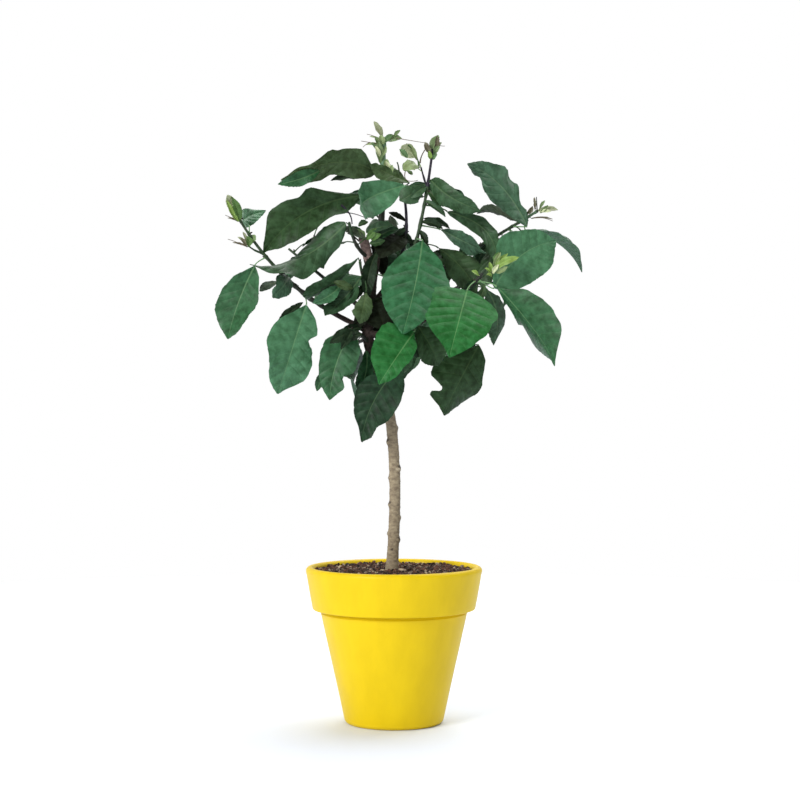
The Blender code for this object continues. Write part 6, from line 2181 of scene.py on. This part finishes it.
def add_floor(radius):
    """Adds the round floor of pale matt paper."""
    shell = bmesh.new()
    bmesh.ops.create_circle(shell, cap_ends=True, segments=96, radius=radius)
    mesh = bpy.data.meshes.new("floor")
    shell.to_mesh(mesh)
    shell.free()
    floor = bpy.data.objects.new("floor", mesh)
    bpy.context.scene.collection.objects.link(floor)
    paper, shader = start_finish("matt_paper", Roughness=0.95)
    mottle(paper, shader, hex_colour("#E1E7F2"), hex_colour("#E4EAF5"), 400.0)
    mesh.materials.append(paper)


def area_light(name, power, size, place, target):
    """Adds a square soft light that faces a target."""
    light = bpy.data.lights.new(name, "AREA")
    light.energy = power
    light.size = size
    lamp = bpy.data.objects.new(name, light)
    lamp.location = place
    lamp.rotation_euler = (Vector(target) - Vector(place)).to_track_quat("-Z", "Y").to_euler()
    bpy.context.scene.collection.objects.link(lamp)


def add_studio_walls():
    """Adds white walls under a dimmer ceiling, dimmer still on the right, out of the camera's sight."""
    world = bpy.data.worlds.new("studio")
    world.use_nodes = True
    way = add_node(world, "ShaderNodeTexCoord")
    parts = add_node(world, "ShaderNodeSeparateXYZ", links={"Vector": (way, "Generated")})
    fall = add_node(world, "ShaderNodeMapRange",
                    {"From Min": 0.28, "From Max": 0.6, "To Min": 1.0, "To Max": 0.4},
                    {"Value": (parts, "Z")})
    side = add_node(world, "ShaderNodeMapRange",
                    {"From Min": 0.23, "From Max": 0.5, "To Min": 1.0, "To Max": 0.55},
                    {"Value": (parts, "X")})
    both = add_node(world, "ShaderNodeMath", {"operation": "MULTIPLY"}, {0: (fall, 0), 1: (side, 0)})
    backdrop = world.node_tree.nodes["Background"]
    backdrop.inputs["Color"].default_value = (1.0, 1.0, 1.0, 1.0)
    world.node_tree.links.new(both.outputs[0], backdrop.inputs["Strength"])
    bpy.context.scene.world = world


def add_camera():
    """Adds the camera that takes the photograph's view."""
    lens = bpy.data.cameras.new("camera")
    lens.sensor_fit = "HORIZONTAL"
    lens.sensor_width = 36.0
    lens.lens = FOCAL_PIXELS / FRAME_PIXELS * lens.sensor_width
    lens.clip_end = 30.0
    camera = bpy.data.objects.new("camera", lens)
    camera.location = VIEW_POINT * MM
    camera.rotation_euler = (math.radians(90.0), 0.0, 0.0)
    bpy.context.scene.collection.objects.link(camera)
    bpy.context.scene.camera = camera


class PLUM_OT_stage(bpy.types.Operator):
    """Makes the pale floor, the soft lights and the camera at the photograph's angle"""

    bl_idname = "plum.stage"
    bl_label = "Make Stage"

    def execute(self, context):
        settings = context.scene.plum_stage
        add_floor(settings.floor_radius)
        area_light("key", settings.key_power, 1.2, (-1.75, -2.2, 1.5), (0.0, 0.0, 0.3))
        area_light("fill", settings.fill_power, 1.8, (2.4, -1.6, 1.0), (0.0, 0.0, 0.3))
        area_light("top", settings.top_power, 2.6, (0.5, 0.9, 2.4), (0.0, 0.2, 0.0))
        add_studio_walls()
        context.scene.view_settings.view_transform = "Standard"
        add_camera()
        return {"FINISHED"}


class PLUM_PT_tree(bpy.types.Panel):
    """Lists the pieces of the potted plum tree"""

    bl_label = "Potted Plum Tree"
    bl_space_type = "VIEW_3D"
    bl_region_type = "UI"
    bl_category = "Plum Tree"

    def draw(self, context):
        scene = context.scene
        groups = ((("plum.pot",), scene.plum_pot, ("shade", "tint", "holes")),
                  (("plum.mix",), scene.plum_mix, ("crumb_count",)),
                  (("plum.trunk",), scene.plum_trunk, ("shade", "tint")),
                  (("plum.boughs", "plum.twigs", "plum.leaves"), None, ()),
                  (("plum.stage",), scene.plum_stage,
                   ("floor_radius", "key_power", "fill_power", "top_power")))
        for operators, settings, names in groups:
            box = self.layout.box()
            for name in names:
                box.prop(settings, name)
            for operator in operators:
                box.operator(operator)


SETTINGS = (("plum_pot", PlumPotSettings), ("plum_mix", PlumMixSettings),
            ("plum_trunk", PlumTrunkSettings), ("plum_stage", PlumStageSettings))
OPERATORS = (PLUM_OT_pot, PLUM_OT_mix, PLUM_OT_trunk, PLUM_OT_boughs, PLUM_OT_twigs,
             PLUM_OT_leaves, PLUM_OT_stage)


def register():
    """Registers the settings, the operators and the panel."""
    for name, group in SETTINGS:
        bpy.utils.register_class(group)
        setattr(bpy.types.Scene, name, PointerProperty(type=group))
    for used in (*OPERATORS, PLUM_PT_tree):
        bpy.utils.register_class(used)


def unregister():
    """Takes back what register did, in the opposite order."""
    for used in reversed((*OPERATORS, PLUM_PT_tree)):
        bpy.utils.unregister_class(used)
    for name, group in reversed(SETTINGS):
        delattr(bpy.types.Scene, name)
        bpy.utils.unregister_class(group)


def main():
    """Makes every piece and the stage."""
    register()
    bpy.ops.plum.pot()
    bpy.ops.plum.mix()
    bpy.ops.plum.trunk()
    bpy.ops.plum.boughs()
    bpy.ops.plum.twigs()
    bpy.ops.plum.leaves()
    bpy.ops.plum.stage()


if __name__ == "__main__":
    main()
